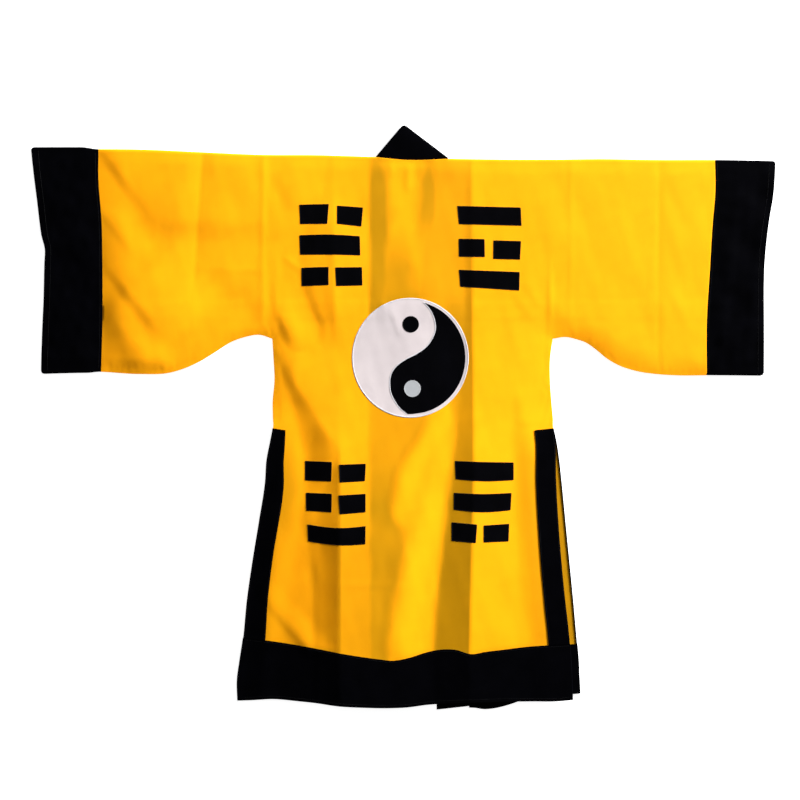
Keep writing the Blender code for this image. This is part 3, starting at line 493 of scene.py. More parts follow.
# Emblem on the back: the middle and half axes of its disc and of the round edge of its black
# half. S_LINE is the edge between the halves, as (y, x).
EMBLEM_X = 3.0
EMBLEM_Y = -462.0
DISC_RX = 134.0
DISC_RY = 137.5
HALF_X = 3.7
HALF_Y = -461.6
HALF_RX = 125.6
HALF_RY = 129.6
S_LINE = [
    (-335.6, 36.0), (-353.4, 50.8), (-366, 56.8), (-379.2, 60.7), (-391, 62.1), (-402, 60.6),
    (-412.8, 56.8), (-424, 50.8), (-434.6, 42.9), (-450.5, 23.1), (-467.3, -8.6), (-478.2, -24.4),
    (-492, -36.3), (-507.9, -42.3), (-521.7, -43.2), (-543.5, -40.3), (-563.3, -30.4),
    (-579.1, -18.5), (-591.1, -3.6),
]
EYE_RADIUS = 19.0
UPPER_EYE = (3.9, -385.0)
LOWER_EYE = (7.6, -532.9)

# Trigrams: the corners of each strip of black cloth, from the top left corner clockwise
Bar = namedtuple("Bar", "name corners")
BARS = [
    Bar("upper_left_1a", [(-251, -111), (-185, -109.5), (-188.6, -153.4), (-249.5, -154)]),
    Bar("upper_left_1b", [(-164.5, -113.2), (-106.5, -117.5), (-110.2, -159.4), (-164.5, -153.4)]),
    Bar("upper_left_2", [(-251, -181.2), (-113.8, -183.5), (-112.7, -226), (-249.5, -224.5)]),
    Bar("upper_left_3a", [(-245.9, -256), (-185.6, -253.9), (-185.6, -294.2), (-245.9, -296.5)]),
    Bar("upper_left_3b", [(-168.8, -255.3), (-108.8, -254.6), (-107.9, -294.9), (-166.5, -296.5)]),
    Bar("upper_right_1", [(111.6, -113.9), (255.8, -117.5), (257.8, -157.8), (115.5, -154.1)]),
    Bar("upper_right_2a", [(114.8, -189.3), (172.7, -190), (173.4, -229.8), (115.5, -228.9)]),
    Bar("upper_right_2b", [(194.8, -193), (256.5, -194.6), (254.4, -235.5), (194.1, -234.1)]),
    Bar("upper_right_3", [(115.5, -260.6), (253.5, -265.7), (252.5, -306.6), (118.5, -297.9)]),
    Bar("lower_left_1a", [(-238.1, -699.7), (-178, -702), (-179.4, -745.2), (-238.1, -742.9)]),
    Bar("lower_left_1b", [(-159.6, -708.2), (-100.1, -705.9), (-101.9, -744.3), (-158.2, -747.5)]),
    Bar("lower_left_2a", [(-236.2, -772.6), (-178, -774.9), (-178.9, -816), (-235.3, -812.4)]),
    Bar("lower_left_2b", [(-161, -778.6), (-100.5, -774.9), (-100.5, -815.6), (-158.2, -820.4)]),
    Bar("lower_left_3", [(-232.3, -845.3), (-100.5, -849), (-101, -889), (-230.9, -882.7)]),
    Bar("lower_right_1", [(106, -699.7), (239.4, -703.1), (239.4, -742), (107.9, -740.1)]),
    Bar("lower_right_2", [(103.7, -772.6), (234.6, -773), (232.3, -811), (103.3, -810)]),
    Bar("lower_right_3a", [(98.4, -840.4), (155.3, -845.3), (152.5, -886.4), (98.4, -881.8)]),
    Bar("lower_right_3b", [(171.8, -847.6), (229.1, -843.9), (227.7, -882.7), (171.8, -885)]),
]

# How much the long strips bow away from straight at the middle of their top and bottom edges
BOWS = {
    "upper_left_2": (2.6, 1.0),
    "lower_left_3": (-6.0, -5.2),
    "lower_right_1": (-0.6, -3.6),
    "lower_right_2": (-2.6, -5.2),
}


def frame_shift():
    """How far the frame moved the robe along x and y, in millimetres, told by the round emblem."""
    low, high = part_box("emblem_disc")
    return (low[0] + high[0]) / 2 / MM - EMBLEM_X, (low[1] + high[1]) / 2 / MM - EMBLEM_Y


SHIFT_X, SHIFT_Y = frame_shift()


def to_frame(points):
    """Points of the robe in millimetres, moved to the frame's place and turned into metres."""
    return (points + np.array([SHIFT_X, SHIFT_Y, 0.0])) * MM


def smooth(table, at):
    """Value at any place of a smooth curve through a table's rows of (place, value).

    Between two rows it is the cubic whose slopes at both ends are those of the table.
    """
    places, values = np.array(sorted(table), float).T
    slopes = np.gradient(values, places)
    at = np.clip(at, places[0], places[-1])
    i = np.clip(np.searchsorted(places, at) - 1, 0, len(places) - 2)
    step = places[i + 1] - places[i]
    t = (at - places[i]) / step
    start = (1 + 2 * t) * (1 - t) ** 2 * values[i] + t * (1 - t) ** 2 * step * slopes[i]
    end = t * t * (3 - 2 * t) * values[i + 1] + t * t * (t - 1) * step * slopes[i + 1]
    return start + end


def ease(t):
    """0 below t = 0, 1 above t = 1, and 3 t squared less 2 t cubed between."""
    t = np.clip(t, 0.0, 1.0)
    return t * t * (3 - 2 * t)


def distance_to(path, x, y):
    """How far points lie from a path: the least distance to any of its straight runs."""
    best = np.full(np.broadcast(x, y).shape, np.inf)
    for (x0, y0), (x1, y1) in zip(path, path[1:]):
        dx, dy = x1 - x0, y1 - y0
        t = np.clip(((x - x0) * dx + (y - y0) * dy) / (dx * dx + dy * dy), 0, 1)
        best = np.minimum(best, np.hypot(x - x0 - t * dx, y - y0 - t * dy))
    return best


def ripple(x, y, size, seed):
    """Uneven waves about 1 high: eight sines of random direction, phase and length near size."""
    random = np.random.default_rng(seed)
    angles, phases = random.uniform(0, math.tau, (2, 8))
    lengths = size * random.uniform(0.7, 1.5, 8)
    total = np.zeros(np.broadcast(x, y).shape)
    for angle, phase, length in zip(angles, phases, lengths):
        total += np.sin((x * math.cos(angle) + y * math.sin(angle)) * math.tau / length + phase)
    return total / 3


def seam_path(half):
    """The seam of one sleeve and side, from the cuff to where the slit begins."""
    edge = sorted(half.back_edge, reverse=True)
    down = [(x, y) for y, x in edge if SIDE_SEAM_END_Y < y < ARMPIT_Y]
    down.append((float(smooth(edge, SIDE_SEAM_END_Y)), SIDE_SEAM_END_Y))
    return sorted(half.underarm, reverse=half.sign > 0) + down


SEAM_PATHS = [seam_path(half) for half in HALVES.values()]


def crease_height(crease, x, y):
    """Height of a crease: its crest times (1 - distance / reach), eased or to the power 1.5."""
    off = x - smooth(crease.line, y)
    reach = np.where(off < 0, smooth(crease.left, y), smooth(crease.right, y))
    share = np.clip(1 - np.abs(off) / reach, 0, 1)
    ends = sorted(y for y, _ in crease.line)
    fade = ease((y - ends[0]) / 30 + 1) * ease((ends[-1] - y) / 30 + 1)
    return smooth(crease.height, y) * (share ** 1.5 if crease.pressed else ease(share)) * fade


def fold_height(fold, x, y):
    """Height of a soft fold: an eased hump across its line that fades out past both ends."""
    dx, dy = fold.x1 - fold.x0, fold.y1 - fold.y0
    length = math.hypot(dx, dy)
    along = ((x - fold.x0) * dx + (y - fold.y0) * dy) / length
    across = ((x - fold.x0) * -dy + (y - fold.y0) * dx) / length
    reach = np.where(across < 0, fold.left, fold.right)
    fade = length / 3
    ends = ease(along / fade + 0.5) * ease((length - along) / fade + 0.5)
    return fold.height * ease(1 - np.abs(across) / reach) * ends


def body_height(x, y):
    """Height of the ridges and hollows that run down the back.

    At each height of the body the cloth goes from line to line. Between two round lines the rise
    is half even and half eased, next to a pressed line it is steepest at the crease: 0.6 of it is
    even and 0.4 goes with the power 1.5.
    """
    places = np.stack([smooth(line.place, y) for line in BODY_LINES])
    heights = np.stack([smooth(line.height, y) for line in BODY_LINES])
    total = np.zeros(np.broadcast(x, y).shape)
    for k, (one, two) in enumerate(zip(BODY_LINES, BODY_LINES[1:])):
        t = np.clip((x - places[k]) / (places[k + 1] - places[k]), 0, 1)
        if one.pressed:
            rise = 1 - 0.6 * (1 - t) - 0.4 * (1 - t) ** 1.5
        elif two.pressed:
            rise = 0.6 * t + 0.4 * t ** 1.5
        else:
            rise = (t + ease(t)) / 2
        total = total + (heights[k + 1] - heights[k]) * rise
    return total + heights[0]


def back_under(x, y, sizes):
    """Height of the underside of the back.

    It is a base that rises beside the slits and at the neck, plus the lift of puff, creases,
    folds and small waves, which falls to nothing at the side seams and to a part at the shoulders.
    """
    left_seam, right_seam = (distance_to(path, x, y) for path in SEAM_PATHS)
    seam = np.minimum(left_seam, right_seam)
    below_shoulder = smooth(SHOULDER, x) - y

    # The base, which lies higher over the fronts' slit bands and at the neck
    at_slit = np.minimum(x - smooth(LEFT_SIDE, y), smooth(RIGHT_SIDE, y) - x)
    in_body = (y < ARMPIT_Y) & (at_slit > -60) & ((y < SIDE_SEAM_END_Y) | (at_slit > -1))
    past_band = np.where(in_body, at_slit - 52 * ease((SIDE_SEAM_END_Y + 60 - y) / 60), 1000.0)
    beside_slit = ease((SIDE_SEAM_END_Y + 50 - y) / 100) * ease(1 - past_band / 50)
    at_neck = ease(1 - np.hypot(np.maximum(np.abs(x - 7) - 83, 0), y) / 60)
    base = BACK_Z + (SLIT_Z - BACK_Z) * beside_slit + NECK_RISE * at_neck

    # The share of the lift that is left beside the side seams, the shoulders and the left cuff
    from_cuff = x - smooth(LEFT_CUFF_SEAM, y)
    left_wide = 60 - 24 * ease((-320 - x) / 40) - 30 * ease((x + 335) / 20) * ease((-500 - y) / 60)
    to_cuff = smooth(RIGHT_CUFF_SEAM, y) - x
    right_wide = 50 + 8 * ease((x - 480) / 100) + 56 * ease((372 - x) / 60)
    right_wide = right_wide * (0.6 + 0.4 * ease(to_cuff / 90))
    edge = 1 - np.clip(1 - left_seam / left_wide, 0, 1) ** 2
    edge = edge * (1 - np.clip(1 - right_seam / right_wide, 0, 1) ** 2)
    shoulder = 0.7 + 0.2 * ease((-200 - x) / 100)
    edge = edge * (shoulder + (1 - shoulder) * ease(below_shoulder / 36))
    gather = smooth([(-500, 0.8), (-190, 0.8), (-110, 0.45), (0, 0.5)], y)
    edge = edge * (1 - gather * np.clip(1 - from_cuff / 64, 0, 1) ** 2)

    # The lift itself. The puff is less in the lower body, and all of it beside the slits.
    low = ease((-500 - y) / 240)
    waves = 0.24 * ripple(x, y, 150, 3) + 0.08 * ripple(x, y, 46, 5) + 0.03 * ripple(x, y, 17, 6)
    relief = sum(crease_height(crease, x, y) for crease in CREASES)
    relief = relief + sum(fold_height(fold, x, y) for fold in FOLDS)
    pucker = 0.14 * np.sin(x * 0.42 + 2 * ripple(x, y, 60, 7)) * ease(1 - np.abs(seam - 12) / 14)
    lift = sizes.puff / MM * (1 - 0.8 * low) + (waves + relief) * sizes.relief
    lift = lift * edge * (1 - 0.6 * ease((-470 - y) / 130) * ease(1 - past_band / 110))
    body = body_height(x, y) * sizes.relief * edge
    return base + np.maximum(lift + body + pucker, 0.0)


def back_over(x, y, sizes):
    """Height of the outer face of the back: its underside plus one thickness of cloth."""
    return back_under(x, y, sizes) + sizes.cloth / MM


def black_and_painted_shade(x, y):
    """Darkening of the back's yellow, from 0 to 1: by black layers below and by painted shade.

    It is the strongest of the listed shades, of a strip 108 mm in from the right front's edge below
    the slits' top, and of the hem seam's allowance. Each eases to 0 over its edges.
    """
    soft = 1 + 0.25 * ripple(x, y, 70, 9)
    # A strip in from the right front's edge, darker beside the back's right slit band
    slit = ease((x - smooth(FRONT_RIGHT_SIDE, y) + 108) / 28) * ease((SLIT_TOP_Y + 20 - y) / 160)
    below = ease((HEM_SEAM_SHADE - (y - smooth(HEM_SEAM, x))) / 16)
    best = np.maximum(0.45 * slit, 0.35 * below)
    for shade in BLACK_AND_PAINTED_SHADES:
        left = ease((x - smooth(shade.left, y)) / (shade.fade_left * soft) + 0.5)
        right = ease((smooth(shade.right, y) - x) / (shade.fade_right * soft) + 0.5)
        best = np.maximum(best, left * right * smooth(shade.strength, y))
    return np.clip(best * (0.97 + 0.04 * ripple(x, y, 80, 10)), 0, 1)


def front_band_behind(half, x, y):
    """How much of the black slit band shows through the yellow of a front, from 0 to 1."""
    inward = (smooth(half.front_edge, y) - x) * half.sign
    return ease((smooth(FRONT_BAND_WIDTH, y) - inward) / 3) * ease((SLIT_TOP_Y - y) / 3)


def new_object(name, mesh, material):
    """An object at the origin with one mesh and one material, linked to the scene."""
    mesh.materials.append(material)
    made = bpy.data.objects.new(name, mesh)
    bpy.context.scene.collection.objects.link(made)
    return made


def mesh_from(name, points, faces, marks=None):
    """A smooth-shaded mesh from arrays of points in millimetres and of faces.

    Points that no face uses are dropped. The faces turn over if they enclose less than nothing.
    """
    fan = [faces[:, [0, k, k + 1]] for k in range(1, faces.shape[1] - 1)]
    corners = points[np.concatenate(fan)]
    volume = np.sum(corners[:, 0] * np.cross(corners[:, 1], corners[:, 2]))
    if volume < 0:
        faces = faces[:, ::-1]
    used, place = np.unique(faces, return_inverse=True)
    mesh = bpy.data.meshes.new(name)
    mesh.from_pydata(to_frame(points[used]).tolist(), [], place.reshape(faces.shape).tolist())
    for label, values in (marks or {}).items():
        layer = mesh.attributes.new(label, "FLOAT", "POINT")
        layer.data.foreach_set("value", values[used].astype(np.float32))
    mesh.shade_smooth()
    mesh.set_sharp_from_angle(angle=SHARP_ANGLE)
    return mesh


def shell(name, over, under, material, cells=None, closed=False, marks=None):
    """A thin solid between two grids of points, over the cells that hold cloth.

    Every cell gives one face above and one below. An edge that only one cell uses is an edge of
    the cloth, and a row of points half a thickness outside it makes it round.
    """
    rows, columns = over.shape[:2]
    count = rows * columns
    index = np.arange(count).reshape(rows, columns)
    near, far = (index, np.roll(index, -1, axis=1)) if closed else (index[:, :-1], index[:, 1:])
    quads = np.stack([near[:-1], far[:-1], far[1:], near[1:]], axis=-1)
    quads = quads.reshape(-1, 4) if cells is None else quads[cells]
    top, bottom = over.reshape(-1, 3), under.reshape(-1, 3)
    up = top - bottom
    across = np.cross(top[quads[:, 2]] - top[quads[:, 0]], top[quads[:, 3]] - top[quads[:, 1]])
    if np.sum(across * up[quads[:, 0]]) < 0:
        quads = quads[:, ::-1]
    start, end = quads.ravel(), np.roll(quads, -1, axis=1).ravel()
    open_edge = ~np.isin(start * count + end, end * count + start)
    start, end = start[open_edge], end[open_edge]
    sideways = np.cross(top[end] - top[start], up[start])
    sideways /= np.maximum(np.linalg.norm(sideways, axis=1, keepdims=True), 1e-9)
    out = np.zeros_like(top)
    np.add.at(out, start, sideways)
    np.add.at(out, end, sideways)
    out /= np.maximum(np.linalg.norm(out, axis=1, keepdims=True), 1e-9)
    rim = (top + bottom) / 2 + out * np.linalg.norm(up, axis=1, keepdims=True) / 2
    faces = np.concatenate([
        quads,
        quads[:, ::-1] + count,
        np.stack([end, start, start + 2 * count, end + 2 * count], axis=1),
        np.stack([end + 2 * count, start + 2 * count, start + count, end + count], axis=1),
    ])
    marks = {label: np.tile(values.ravel(), 3) for label, values in (marks or {}).items()}
    mesh = mesh_from(name, np.concatenate([top, bottom, rim]), faces, marks)
    return new_object(name, mesh, material)


def two_faces(x, y, low, thick):
    """The outer and the under face of a layer of cloth, one thickness apart."""
    return np.dstack([x, y, low + thick]), np.dstack([x, y, low])


def path_frames(path, closed):
    """Unit vectors along and across a path in the plane, at every one of its points."""
    if closed:
        along = np.roll(path, -1, axis=0) - np.roll(path, 1, axis=0)
    else:
        along = np.gradient(path, axis=0)
    along = along / np.maximum(np.linalg.norm(along, axis=1, keepdims=True), 1e-9)
    return along, np.stack([-along[:, 1], along[:, 0]], axis=1)


def even_path(points, step, closed=False):
    """Points (x, y) spaced evenly by about one step along a path."""
    points = np.array(points, float)
    if closed:
        points = np.concatenate([points, points[:1]])
    length = np.concatenate([[0], np.cumsum(np.linalg.norm(np.diff(points, axis=0), axis=1))])
    count = max(int(round(length[-1] / step)), 2)
    at = np.linspace(0, length[-1], count + 1)
    at = at[:-1] if closed else at
    return np.stack([np.interp(at, length, points[:, k]) for k in (0, 1)], axis=1)


def bead_arrays(path, height_at, sizes, closed, width=None):
    """Points and faces of a satin-stitched edge along a path on the cloth.

    Its section is the upper half of an oval, sunk into the cloth, and it swells a little at every
    other station, so that the threads that lie side by side show.
    """
    sunk = 0.25
    turns = np.radians([180, 142, 104, 76, 38, 0])
    _, side = path_frames(path, closed)
    swell = np.where(np.arange(len(path)) % 2 == 0, 1.0, 0.84)[:, None]
    half = (sizes.satin_width if width is None else width) / MM / 2
    offset = np.cos(turns)[None] * half * (0.7 + 0.3 * swell)
    x = path[:, :1] + side[:, :1] * offset
    y = path[:, 1:] + side[:, 1:] * offset
    z = height_at(x, y) - sunk + (sunk + sizes.satin_height / MM * swell) * np.sin(turns)[None]
    count, wide = x.shape
    index = np.arange(count * wide).reshape(count, wide)
    after = np.roll(index, -1, axis=0) if closed else index[1:]
    here = index if closed else index[:-1]
    following = np.roll(np.arange(wide), -1)
    faces = np.stack([here, after, after[:, following], here[:, following]], axis=-1).reshape(-1, 4)
    if not closed:
        ends = [index[0][[0, 1, 2, 3]], index[0][[0, 3, 4, 5]]]
        ends += [index[-1][[3, 2, 1, 0]], index[-1][[5, 4, 3, 0]]]
        faces = np.concatenate([faces, np.array(ends)])
    return np.dstack([x, y, z]).reshape(-1, 3), faces


def joined(parts):
    """One pair of arrays of points and faces from many."""
    points, faces, first = [], [], 0
    for part_points, part_faces in parts:
        points.append(part_points)
        faces.append(part_faces + first)
        first += len(part_points)
    return np.concatenate(points), np.concatenate(faces)


def stitch_arrays(path, height_at, sizes):
    """Points and faces of a row of running stitches along a path.

    Each stitch is a short square rod that thins and dips into the cloth at both ends.
    """
    pitch = (sizes.stitch_length + sizes.stitch_gap) / MM
    middles = even_path(path, pitch)
    along, side = path_frames(middles, False)
    reach = np.array([-0.5, -0.38, 0.38, 0.5]) * sizes.stitch_length / MM
    thick = np.array([0.25, 1.0, 1.0, 0.25]) * sizes.thread / MM / 2
    turns = np.radians([0, 90, 180, 270])
    lateral = thick[:, None] * np.cos(turns)[None]
    vertical = thick[:, None] * (np.sin(turns)[None] + 0.35) - np.array([0.2, 0, 0, 0.2])[:, None]
    x = middles[:, None, None, 0] + along[:, None, None, 0] * reach[None, :, None]
    x = x + side[:, None, None, 0] * lateral[None]
    y = middles[:, None, None, 1] + along[:, None, None, 1] * reach[None, :, None]
    y = y + side[:, None, None, 1] * lateral[None]
    z = height_at(x, y) + vertical[None]
    points = np.stack([x, y, z], axis=-1).reshape(-1, 3)
    ring = np.arange(16).reshape(4, 4)
    turned = np.roll(ring, -1, axis=1)
    one = np.stack([ring[:-1], ring[1:], turned[1:], turned[:-1]], axis=-1).reshape(-1, 4)
    one = np.concatenate([one, [[0, 1, 2, 3]], [[15, 14, 13, 12]]])
    first = np.arange(len(middles)) * 16
    return points, (first[:, None, None] + one[None]).reshape(-1, 4)


def declare(piece, slot, nodes, flat, area, rests_on):
    """Attaches a piece to the root body, hides the parts in nodes; slot and cut size are unused."""
    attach(piece, "root")
    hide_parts(*nodes)


def oval_cut(half_wide, half_high):
    """The width and length of an oval patch, and its area, pi times both of its half axes."""
    size = 2 * half_wide * MM, 2 * half_high * MM
    return size, math.pi * half_wide * half_high * MM * MM


# At scale 1 the wave texture repeats every tau / 20 metres
WAVE_STEP = math.tau / 20


class Nodes:
    """A short way to build one material's nodes."""

    def __init__(self, name):
        self.material = bpy.data.materials.new(name)
        self.material.use_nodes = True
        self.tree = self.material.node_tree
        self.shader = self.tree.nodes["Principled BSDF"]

    def add(self, kind, settings=None, **inputs):
        """A node with its settings and with its inputs set or linked."""
        made = self.tree.nodes.new(kind)
        for label, value in (settings or {}).items():
            setattr(made, label, value)
        for label, value in inputs.items():
            self.set(made, label.replace("_", " "), value)
        return made

    def set(self, made, label, value):
        """Sets one input of a node, or links it where the value is a socket."""
        socket = next(s for s in made.inputs if s.name == label and s.enabled)
        if isinstance(value, bpy.types.NodeSocket):
            self.tree.links.new(value, socket)
        else:
            socket.default_value = value

    def mix(self, factor, first, second):
        """Two colours mixed by a factor."""
        made = self.add("ShaderNodeMix", {"data_type": "RGBA"})
        self.set(made, "Factor", factor)
        self.set(made, "A", first)
        self.set(made, "B", second)
        return next(s for s in made.outputs if s.name == "Result" and s.enabled)

    def spread(self, value, low, high, to_low=0.0, to_high=1.0):
        """A value's range from low to high, mapped to another range."""
        made = self.add("ShaderNodeMapRange")
        self.set(made, "Value", value)
        labels = ("From Min", "From Max", "To Min", "To Max")
        for label, number in zip(labels, (low, high, to_low, to_high)):
            self.set(made, label, number)
        return made.outputs["Result"]

    def weave(self, thread, strength):
        """Bump of a plain weave: warp and weft waves one thread apart, in object coordinates."""
        place = self.add("ShaderNodeTexCoord").outputs["Object"]
        waves = []
        for direction in ("X", "Y"):
            wave = self.add(
                "ShaderNodeTexWave", {"bands_direction": direction},
                Vector=place, Scale=WAVE_STEP / thread, Distortion=0.4,
            )
            waves.append(wave.outputs["Fac"])
        both = self.add("ShaderNodeMath", {"operation": "MULTIPLY"})
        self.tree.links.new(waves[0], both.inputs[0])
        self.tree.links.new(waves[1], both.inputs[1])
        bump = self.add(
            "ShaderNodeBump", Strength=strength, Distance=0.0002, Height=both.outputs[0],
        )
        self.set(self.shader, "Normal", bump.outputs["Normal"])

    def mottle(self, size):
        """Soft spots of about one size, from 0 to 1, in object coordinates."""
        place = self.add("ShaderNodeTexCoord").outputs["Object"]
        noise = self.add("ShaderNodeTexNoise", Vector=place, Scale=1 / size, Detail=3.0)
        return noise.outputs["Fac"]


def yellow_material(colours):
    """Thin golden yellow cloth: olive where black layers under it show through, and where shade is
    painted.
    """
    made = bpy.data.materials.get("golden_yellow_cloth_woven")
    if made:
        return made
    nodes = Nodes("golden_yellow_cloth_woven")
    black_below_and_painted_shade = nodes.add("ShaderNodeAttribute", {"attribute_name": "black_below_and_painted_shade"}).outputs["Fac"]
    spots = nodes.spread(nodes.mottle(0.05), 0.3, 0.7)
    plain = nodes.mix(spots, tuple(colours.yellow), tuple(colours.yellow_deep))
    olive_by_black_and_shade = nodes.mix(black_below_and_painted_shade, plain, tuple(colours.yellow_over_black_and_painted_shade))
    nodes.set(nodes.shader, "Base Color", olive_by_black_and_shade)
    grain = nodes.spread(nodes.mottle(0.02), 0.3, 0.7, 0.6, 0.72)
    nodes.set(nodes.shader, "Roughness", grain)
    nodes.set(nodes.shader, "Specular IOR Level", 0.05)
    nodes.weave(0.0007, 0.12)
    return nodes.material


def plain_material(name, colour, deep, roughness, gloss, thread, strength):
    """Woven cloth of one colour with soft spots of a deeper one and uneven gloss."""
    made = bpy.data.materials.get(name)
    if made:
        return made
    nodes = Nodes(name)
    spots = nodes.spread(nodes.mottle(0.04), 0.3, 0.7)
    nodes.set(nodes.shader, "Base Color", nodes.mix(spots, tuple(colour), tuple(deep)))
    grain = nodes.spread(nodes.mottle(0.025), 0.3, 0.7, roughness - 0.06, roughness + 0.06)
    nodes.set(nodes.shader, "Roughness", grain)
    nodes.set(nodes.shader, "Specular IOR Level", gloss)
    nodes.weave(thread, strength)
    return nodes.material


def black_cloth(colours):
    """The dull black cloth of the cuffs, the collar and the bands."""
    return plain_material(
        "black_cloth_woven", colours.black, colours.black_deep, 0.8, 0.008, 0.0008, 0.15,
    )


def black_satin(colours):
    """The smoother black cloth of the appliques."""
    return plain_material(
        "black_satin_cloth", colours.black, colours.black_deep, 0.6, 0.015, 0.0006, 0.08,
    )


def white_satin(colours):
    """The white cloth of the emblem."""
    return plain_material(
        "white_satin_cloth", colours.white, colours.white_deep, 0.55, 0.3, 0.0006, 0.1,
    )


def grey_satin(colours):
    """The light grey cloth of the emblem's lower eye."""
    return plain_material(
        "light_grey_satin_cloth", colours.grey, colours.grey_deep, 0.55, 0.3, 0.0006, 0.1,
    )


def thread_material(name, colour):
    """Twisted thread, with fine slanted strands."""
    made = bpy.data.materials.get(name)
    if made:
        return made
    nodes = Nodes(name)
    place = nodes.add("ShaderNodeTexCoord").outputs["Object"]
    wave = nodes.add(
        "ShaderNodeTexWave", {"bands_direction": "DIAGONAL"},
        Vector=place, Scale=WAVE_STEP / 0.0005, Distortion=1.0,
    )
    # The low bands between the strands are a fifth darker: painted shade in the grooves
    shade = tuple(c * 0.8 for c in colour[:3]) + (1.0,)
    nodes.set(nodes.shader, "Base Color", nodes.mix(wave.outputs["Fac"], shade, tuple(colour)))
    nodes.set(nodes.shader, "Roughness", 0.75)
    nodes.set(nodes.shader, "Specular IOR Level", 0.08)
    bump = nodes.add("ShaderNodeBump", Strength=0.2, Distance=0.0001, Height=wave.outputs["Fac"])
    nodes.set(nodes.shader, "Normal", bump.outputs["Normal"])
    return nodes.material


def sew(name, rows, thread, colour):
    """Makes one object of thread from rows of points and faces, and attaches it to the root body.
    """
    piece = new_object(name, mesh_from(name, *joined(rows)), thread_material(thread, colour))
    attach(piece, "root")


# How many cells of the back lie between its guiding lines, from cuff to cuff, and how many rows
# lie below and above the armpits. The same for a front, from the collar to the cuff.
BACK_CELLS = [42, 27, 5, 26, 60, 34, 8, 37, 21]
LOWER_ROWS = 132
UPPER_ROWS = 80
FRONT_CELLS = [34, 52]
FRONT_LOWER_ROWS = 94
FRONT_UPPER_ROWS = 56
TURN_ANGLES = [60, 30, 0, -30, -60, -90]

# The places of a grid's points are found in a few rounds, which start at these heights
ROUNDS = 4
LOWER_START_Y = -800.0
UPPER_START_Y = -200.0
HEM_START_Y = -1180.0


def back_guides(y):
    """The x of the ten lines that the back's columns follow, at every height."""
    inset = SLIT_INSET * ease((SIDE_SEAM_END_Y - y) / 20)
    left = np.where(y < ARMPIT_Y, smooth(LEFT_SIDE, y) + inset, ARMPIT_LEFT_X)
    right = np.where(y < ARMPIT_Y, smooth(RIGHT_SIDE, y) - inset, ARMPIT_RIGHT_X)
    return np.stack([
        smooth(LEFT_CUFF_SEAM, y) + SEAM_GAP / 2,
        smooth(LEFT_SLEEVE_VALLEY, y),
        smooth(LEFT_SLEEVE_RIDGE, y),
        left,
        smooth(LEFT_CREASE, y),
        smooth(RIGHT_CREASE, y),
        right,
        smooth(RIGHT_SLEEVE_RIDGE, y),
        smooth(RIGHT_SLEEVE_VALLEY, y),
        smooth(RIGHT_CUFF_SEAM, y) - SEAM_GAP / 2,
    ])


def along_guides(guides, cells):
    """The x of each column: an even share of the way between its two guiding lines."""
    span = np.concatenate([np.repeat(np.arange(len(cells)), cells), [len(cells) - 1]])
    share = np.concatenate([np.arange(n) / n for n in cells] + [[1.0]])
    column = np.arange(len(span))
    low, high = guides[span, :, column], guides[span + 1, :, column]
    return (low + (high - low) * share[:, None]).T


def back_plan():
    """The (x, y) grid of the back, the cells that hold cloth and the columns at the neck's ends.

    Rows run from the hem seam up to the shoulder line. Each column's y is an even share of the
    way from its lowest to its highest place, found together with its x in a few rounds.
    """
    columns = sum(BACK_CELLS) + 1
    first, last = sum(BACK_CELLS[:3]), sum(BACK_CELLS[:6])
    number = np.arange(columns)[None]

    def column_x(y):
        return along_guides(back_guides(y), BACK_CELLS)

    x_top = column_x(np.zeros((1, columns)))[0]
    neck_first = int(np.argmin(np.abs(x_top - NECK_LEFT_X)))
    neck_last = int(np.argmin(np.abs(x_top - NECK_RIGHT_X)))
    pull = np.zeros(columns)
    for place, neck_x in ((neck_first, NECK_LEFT_X), (neck_last, NECK_RIGHT_X)):
        pull = pull + (neck_x - x_top[place]) * ease(1 - np.abs(x_top - x_top[place]) / 40)
    at_neck = (number > neck_first) & (number < neck_last)

    share = np.linspace(0, 1, UPPER_ROWS + 1)[:, None]
    x = np.repeat(x_top[None], len(share), 0)
    for _ in range(ROUNDS):
        low = np.where(x < ARMPIT_LEFT_X + 0.01, smooth(LEFT_UNDERARM, x), ARMPIT_Y)
        low = np.where(x > ARMPIT_RIGHT_X - 0.01, smooth(RIGHT_UNDERARM, x), low)
        high = np.where(at_neck, smooth(NECKLINE, x) - GAP / 2, smooth(SHOULDER, x) - SHOULDER_TURN)
        y = low + (high - low) * share
        x = column_x(y) + pull * ease(1 + y / 90)
    upper = np.dstack([x, y])

    share = np.linspace(0, 1, LOWER_ROWS + 1)[:-1, None]
    x = np.repeat(column_x(np.full((1, columns), LOWER_START_Y)), len(share), 0)
    for _ in range(ROUNDS):
        hem = smooth(HEM_SEAM, x) + GAP / 2
        y = hem + (ARMPIT_Y - hem) * share
        x = column_x(y)
    lower = np.dstack([x, y])
    cells = np.ones((LOWER_ROWS + UPPER_ROWS, columns - 1), bool)
    cells[:LOWER_ROWS, :first] = False
    cells[:LOWER_ROWS, last:] = False
    return np.concatenate([lower, upper]), cells, neck_first, neck_last


